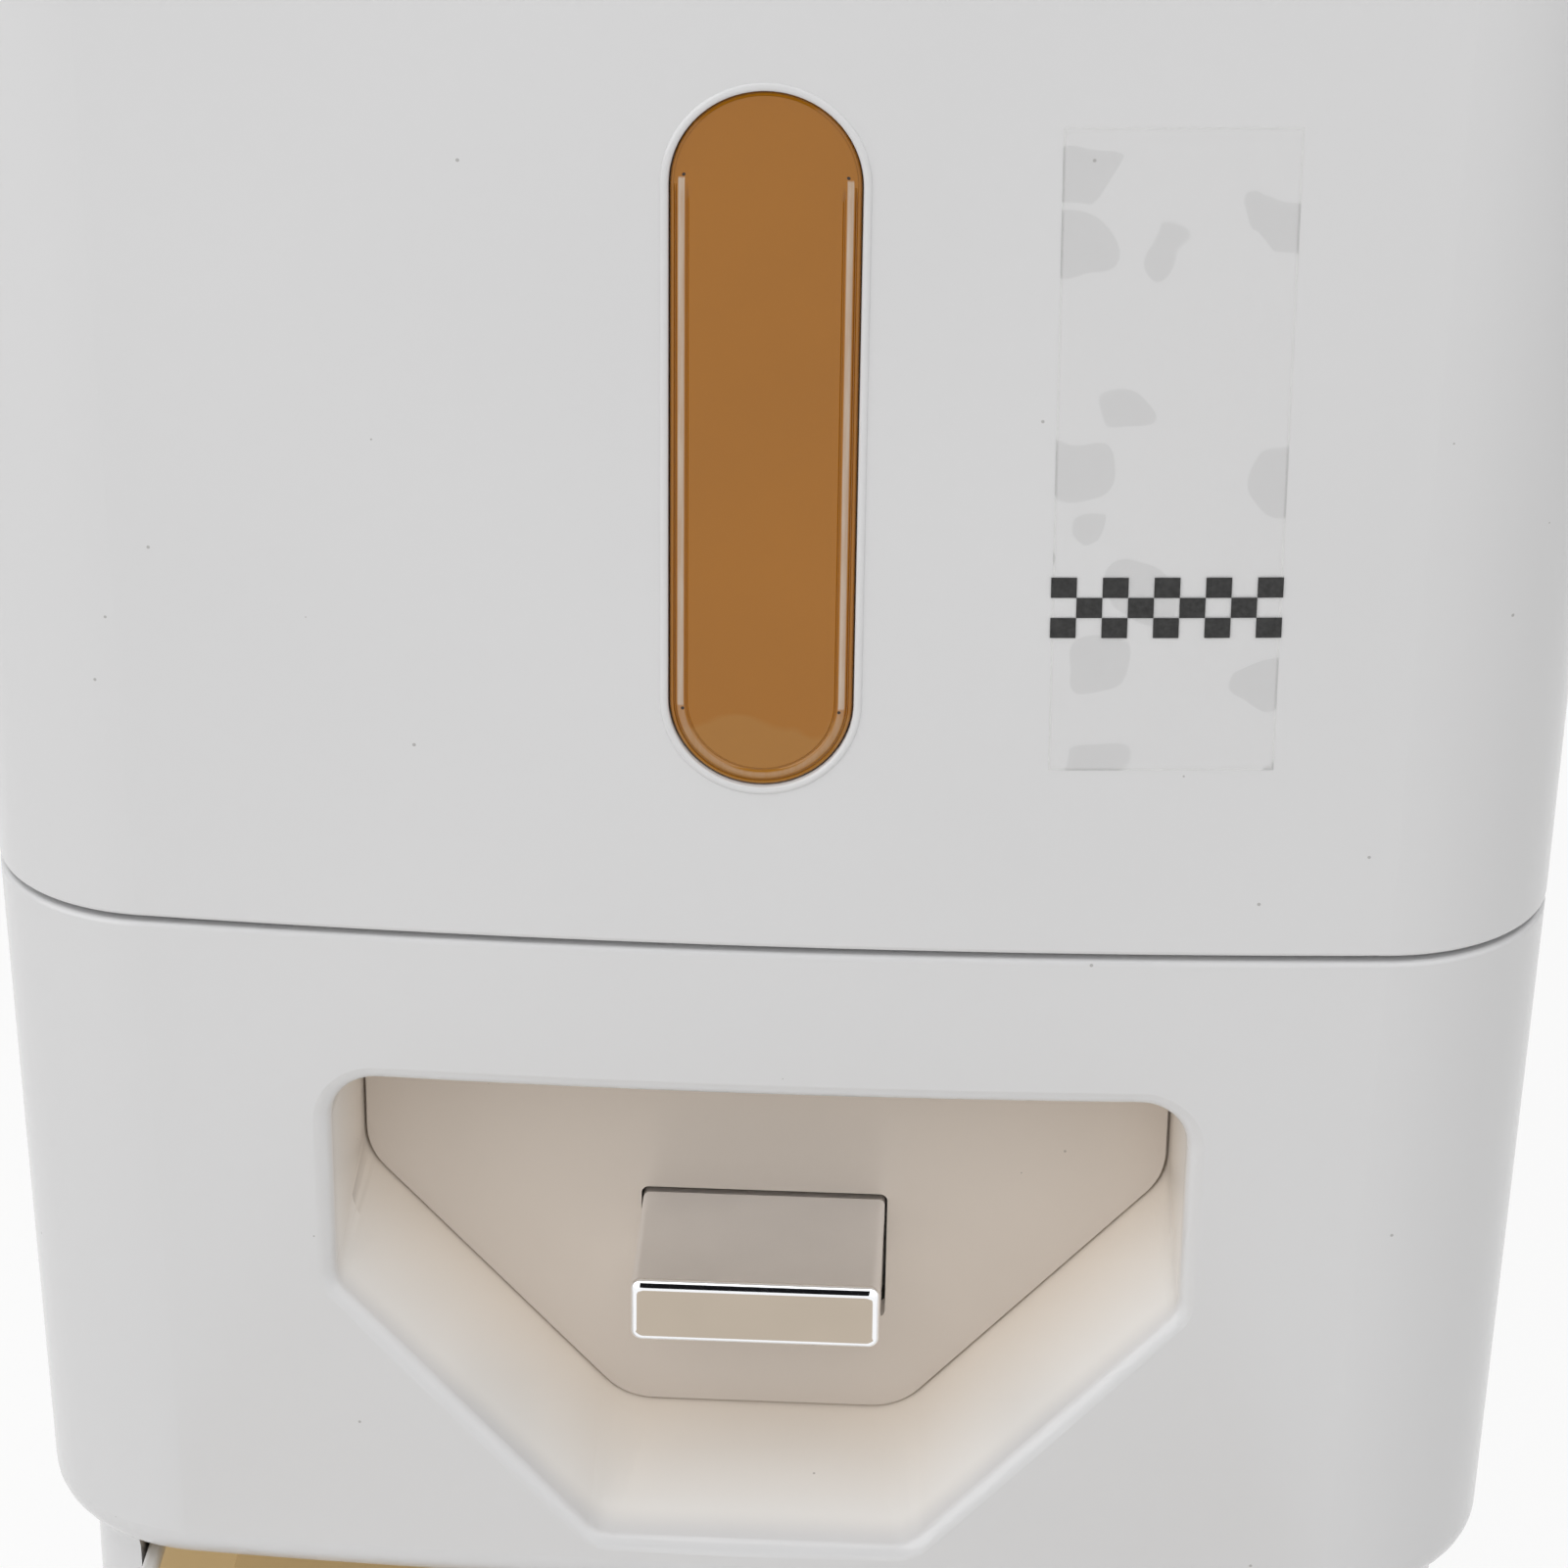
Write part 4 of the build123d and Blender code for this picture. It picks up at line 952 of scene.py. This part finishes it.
class RICE_OT_label(bpy.types.Operator):
    """Stick on the clear film with its printed check band"""

    bl_idname = "rice.label"
    bl_label = "Label film and check band"

    def execute(self, context):
        sizes = context.scene.rice_label
        metal = context.scene.rice_metal
        face = sizes.lift + sizes.thickness
        film = piece_from("label_film", bowed_slab(sizes, sizes.lift, face), label_film(metal, sizes))
        settle(film, "base", None)
        drop = sizes.centre_rise - sizes.band_rise
        values = {
            **named(sizes),
            "Band width": sizes.cell_width * (sizes.columns - 1),
            "Band height": sizes.cell_height * (sizes.rows - 1),
            "Front": FRONT_Y - face,
            "Middle": (sizes.centre_x + drop * math.sin(sizes.tilt), 0.0, SEAM_Z + sizes.band_rise),
        }
        band = grow("check_band", check_tree(print_ink(metal)), values)
        settle(band, "base", None)
        return {"FINISHED"}


def screw_tree(material):
    """Node tree of four pan-head screws on a two by two grid, heads down, with crowned slotted heads."""
    tree, given = open_tree("screw_group", {
        "Float": (
            "Head radius", "Head height", "Shank radius", "Shank length", "Dome radius",
            "Slot width", "Slot length", "Slot depth", "Span X", "Span Y", "Turn",
        ),
        "Vector": ("Middle",),
    })
    shank_size = {"Radius": given["Shank radius"], "Depth": given["Shank length"]}
    bar = add(tree, "MeshCylinder", {**shank_size, "Vertices": 24}, "Mesh")
    half_shank = add(tree, "Math MULTIPLY", {0: given["Shank length"], 1: 0.5})
    head_size = {"Radius": given["Head radius"], "Depth": given["Head height"]}
    disc = add(tree, "MeshCylinder", {**head_size, "Vertices": 48}, "Mesh")
    half_head = add(tree, "Math MULTIPLY", {0: given["Head height"], 1: -0.5})
    ball = add(tree, "MeshUVSphere", {"Radius": given["Dome radius"], "Segments": 48, "Rings": 40}, "Mesh")
    crown = add(tree, "Math SUBTRACT", {0: given["Dome radius"], 1: given["Head height"]})
    forms = []
    for form, rise in ((bar, half_shank), (disc, half_head), (ball, crown)):
        offset = add(tree, "CombineXYZ", {"Z": rise})
        forms.append(add(tree, "Transform", {"Geometry": form, "Translation": offset}))
    shank, blank, dome = forms
    head = add(tree, "MeshBoolean INTERSECT", out=None)
    tree.links.new(blank, head.inputs["Mesh"])
    tree.links.new(dome, head.inputs["Mesh"])
    seat = add(tree, "Math MULTIPLY", {0: given["Head height"], 1: -1.0})
    seat_middle = add(tree, "CombineXYZ", {"Z": seat})
    twice = add(tree, "Math MULTIPLY", {0: given["Slot depth"], 1: 2.0})
    cut = add(tree, "MeshBoolean DIFFERENCE", {"Mesh 1": head.outputs["Mesh"]}, None)
    for long_way, short_way in (("X", "Y"), ("Y", "X")):
        plan = {long_way: given["Slot length"], short_way: given["Slot width"]}
        size = add(tree, "CombineXYZ", {**plan, "Z": twice})
        arm = add(tree, "MeshCube", {"Size": size}, "Mesh")
        placed = add(tree, "Transform", {"Geometry": arm, "Translation": seat_middle})
        tree.links.new(placed, cut.inputs["Mesh 2"])
    screw = add(tree, "JoinGeometry", out=None)
    tree.links.new(cut.outputs["Mesh"], screw.inputs[0])
    tree.links.new(shank, screw.inputs[0])
    turn = add(tree, "CombineXYZ", {"X": given["Turn"]})
    turned = add(tree, "Transform", {"Geometry": screw.outputs[0], "Rotation": turn})
    span = {"Size X": given["Span X"], "Size Y": given["Span Y"]}
    corners = add(tree, "MeshGrid", {**span, "Vertices X": 2, "Vertices Y": 2}, "Mesh")
    spread = add(tree, "InstanceOnPoints", {"Points": corners, "Instance": turned})
    placed = add(tree, "Transform", {"Geometry": spread, "Translation": given["Middle"]})
    end_tree(tree, placed, material)
    return tree


class RICE_OT_screws(bpy.types.Operator):
    """Drive the pan-head screws of the floor, the chassis, the dose chamber and the lid"""

    bl_idname = "rice.screws"
    bl_label = "Screws"

    # Body that each group rides on, and whether its heads point down
    groups = {
        "bottom_screws": ("base", True),
        "chassis_screws": ("base", False),
        "chamber_screws": ("base", False),
        "lid_screws": ("lid", True),
    }

    def execute(self, context):
        sizes = context.scene.rice_screw
        tree = screw_tree(plated_steel(context.scene.rice_metal))
        for node, (body, head_down) in self.groups.items():
            low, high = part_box(node)
            seat = low.z + sizes.head_height if head_down else high.z - sizes.head_height
            middle = (low + high) / 2
            values = {
                **named(sizes),
                "Shank length": high.z - low.z - sizes.head_height,
                "Span X": high.x - low.x - 2 * sizes.head_radius,
                "Span Y": high.y - low.y - 2 * sizes.head_radius,
                "Turn": 0.0 if head_down else math.pi,
                "Middle": (middle.x, middle.y, seat),
            }
            group = grow(node + "_slotted", tree, values)
            smooth(group.data, sharp_degrees=30)
            settle(group, body, "steel", node)
        return {"FINISHED"}


def spring_tree(material):
    """Node tree of a coil spring along Y: a wire swept along a spiral."""
    tree, given = open_tree("coil_spring", {
        "Int": ("Turns",),
        "Float": ("Coil radius", "Wire radius", "Length"),
        "Vector": ("Start",),
    })
    ends = {"Start Radius": given["Coil radius"], "End Radius": given["Coil radius"]}
    coil = add(
        tree, "CurveSpiral",
        {**ends, "Rotations": given["Turns"], "Height": given["Length"], "Resolution": 36},
    )
    section = add(tree, "CurvePrimitiveCircle", {"Radius": given["Wire radius"], "Resolution": 12}, "Curve")
    wire = add(tree, "CurveToMesh", {"Curve": coil, "Profile Curve": section, "Fill Caps": True})
    lie = {"Translation": given["Start"], "Rotation": (-math.pi / 2, 0, 0)}
    laid = add(tree, "Transform", {"Geometry": wire, **lie})
    end_tree(tree, laid, material)
    return tree


class RICE_OT_spring(bpy.types.Operator):
    """Wind the return spring"""

    bl_idname = "rice.spring"
    bl_label = "Return spring"

    def execute(self, context):
        sizes = context.scene.rice_spring
        low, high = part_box("return_spring")
        middle = (low + high) / 2
        values = {
            **named(sizes),
            "Coil radius": (high.x - low.x - sizes.wire) / 2,
            "Wire radius": sizes.wire / 2,
            "Length": high.y - low.y - sizes.wire,
            "Start": (middle.x, low.y + sizes.wire / 2, middle.z),
        }
        spring = grow("return_spring_wound", spring_tree(spring_wire(context.scene.rice_metal)), values)
        spring.data.polygons.foreach_set("use_smooth", [True] * len(spring.data.polygons))
        settle(spring, "base", "steel", "return_spring")
        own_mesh(spring)
        return {"FINISHED"}


def camera_turn(pitch, yaw, roll):
    """Rotation of a camera that looks along +Y, turned down, sideways and over."""
    ahead = Vector((math.sin(yaw) * math.cos(pitch), math.cos(yaw) * math.cos(pitch), -math.sin(pitch)))
    right = Vector((math.cos(yaw), -math.sin(yaw), 0))
    over = right.cross(ahead)
    leaned_right = math.cos(roll) * right + math.sin(roll) * over
    leaned_over = math.cos(roll) * over - math.sin(roll) * right
    return Matrix((leaned_right, leaned_over, -ahead)).transposed().to_4x4()


def studio_paper(settings):
    """White seamless paper: matt, and plain white to the camera and in reflections, with soft shadows."""
    material, tree, shader, coords = start("Paper_white_seamless", Roughness=0.9)
    tone = mottle(tree, coords, settings.floor, shaded(settings.floor, 0.97), patch=400)
    tree.links.new(tone, shader.inputs["Base Color"])
    whiteness = 0.9
    path = add(tree, "LightPath", out=None).outputs
    shown = path["Is Camera Ray"]
    for ray in ("Is Glossy Ray", "Is Transmission Ray"):
        shown = add(tree, "Math MAXIMUM", {0: shown, 1: path[ray]})
    share = add(tree, "Math MULTIPLY", {0: shown, 1: whiteness})
    white = add(tree, "Emission", {"Color": (1, 1, 1, 1), "Strength": 1.0})
    mixed = add(tree, "MixShader", {0: share, 1: shader.outputs[0], 2: white})
    tree.links.new(mixed, tree.nodes["Material Output"].inputs["Surface"])
    return material


def hang_softbox(name, box, power):
    """Square area lamp that points at the object."""
    lamp = bpy.data.lights.new(name, "AREA")
    lamp.shape = "SQUARE"
    lamp.size = box.size
    lamp.energy = power
    obj = bpy.data.objects.new(name, lamp)
    obj.location = box.place
    obj.rotation_euler = (Vector(STUDIO_AIM) - Vector(box.place)).to_track_quat("-Z", "Y").to_euler()
    obj.visible_glossy = box.in_reflections
    bpy.context.scene.collection.objects.link(obj)


def hang_card(name, card):
    """Plain card that only reflections see."""
    material = bpy.data.materials.new(name)
    material.use_nodes = True
    tree = material.node_tree
    glow = add(tree, "Emission", {"Color": (*card.tone, 1), "Strength": 1.0})
    tree.links.new(glow, tree.nodes["Material Output"].inputs["Surface"])
    shape = bmesh.new()
    bmesh.ops.create_grid(shape, x_segments=1, y_segments=1, size=0.5)
    turn = (Vector(card.target) - Vector(card.place)).to_track_quat("Z", "Y").to_matrix().to_4x4()
    bmesh.ops.transform(shape, matrix=Matrix.Diagonal((*card.size, 1, 1)), verts=shape.verts)
    bmesh.ops.transform(shape, matrix=Matrix.Translation(card.place) @ turn, verts=shape.verts)
    obj = piece_from(name, shape, material)
    for ray in ("camera", "diffuse", "transmission", "shadow"):
        setattr(obj, "visible_" + ray, False)


class RICE_OT_studio(bpy.types.Operator):
    """Lay the white paper, hang the softboxes and set the camera"""

    bl_idname = "rice.studio"
    bl_label = "Studio"

    def execute(self, context):
        settings = context.scene.rice_studio
        shape = bmesh.new()
        bmesh.ops.create_grid(shape, x_segments=8, y_segments=8, size=settings.floor_size)
        bmesh.ops.translate(shape, verts=shape.verts, vec=(0, 0, -settings.floor_drop))
        floor = piece_from("studio_floor", shape, studio_paper(settings))
        for name, box in SOFTBOXES.items():
            hang_softbox(name, box, getattr(settings, box.power_setting))
        for name, card in CARDS.items():
            hang_card(name, card)
        self.surround(context, settings)
        lens = bpy.data.cameras.new("studio_camera")
        lens.lens = settings.lens
        lens.sensor_width = 36.0
        lens.clip_start = 0.01
        camera = bpy.data.objects.new("studio_camera", lens)
        camera.matrix_world = Matrix.Translation(settings.camera_place) @ camera_turn(
            settings.pitch, settings.yaw, settings.roll
        )
        context.scene.collection.objects.link(camera)
        context.scene.camera = camera
        context.scene.view_settings.view_transform = "Standard"
        return {"FINISHED"}

    def surround(self, context, settings):
        """Even white light all round, plain white where it is seen."""
        world = bpy.data.worlds.new("studio_surround")
        world.use_nodes = True
        tree = world.node_tree
        background = tree.nodes["Background"]
        background.inputs["Color"].default_value = (1, 1, 1, 1)
        path = add(tree, "LightPath", out=None).outputs
        ends = {"To Min": settings.ambient, "To Max": settings.shine}
        glossy = add(tree, "MapRange", {"Value": path["Is Glossy Ray"], **ends})
        strength = add(tree, "MapRange", {"Value": path["Is Camera Ray"], "To Min": glossy, "To Max": 1.0})
        tree.links.new(strength, background.inputs["Strength"])
        context.scene.world = world


class RICE_PT_panel(bpy.types.Panel):
    """Steps that finish the rice container"""

    bl_idname = "RICE_PT_panel"
    bl_label = "Rice container"
    bl_space_type = "VIEW_3D"
    bl_region_type = "UI"
    bl_category = "Rice container"

    def draw(self, context):
        for operator in OPERATORS:
            self.layout.operator(operator.bl_idname)
        for name in GROUPS:
            group = getattr(context.scene, name)
            box = self.layout.box()
            box.label(text=type(group).__doc__)
            for key in type(group).__annotations__:
                box.prop(group, key)


GROUPS = {
    "rice_plastic": PlasticFinish,
    "rice_metal": MetalFinish,
    "rice_window": WindowSizes,
    "rice_label": LabelSizes,
    "rice_lever": LeverSizes,
    "rice_screw": ScrewSizes,
    "rice_spring": SpringSizes,
    "rice_studio": StudioSettings,
}
OPERATORS = (
    RICE_OT_shells,
    RICE_OT_mechanism,
    RICE_OT_lever,
    RICE_OT_window,
    RICE_OT_label,
    RICE_OT_screws,
    RICE_OT_spring,
    RICE_OT_studio,
)


def register():
    """Registers the property groups, the operators and the panel."""
    for cls in (*GROUPS.values(), *OPERATORS, RICE_PT_panel):
        bpy.utils.register_class(cls)
    for name, cls in GROUPS.items():
        setattr(bpy.types.Scene, name, PointerProperty(type=cls))


def unregister():
    """Removes what register added."""
    for name in GROUPS:
        delattr(bpy.types.Scene, name)
    for cls in reversed((*GROUPS.values(), *OPERATORS, RICE_PT_panel)):
        bpy.utils.unregister_class(cls)


def main():
    """Registers the classes and runs each step in order."""
    register()
    bpy.ops.rice.shells()
    bpy.ops.rice.mechanism()
    bpy.ops.rice.lever()
    bpy.ops.rice.window()
    bpy.ops.rice.label()
    bpy.ops.rice.screws()
    bpy.ops.rice.spring()
    bpy.ops.rice.studio()


if __name__ == "__main__":
    main()
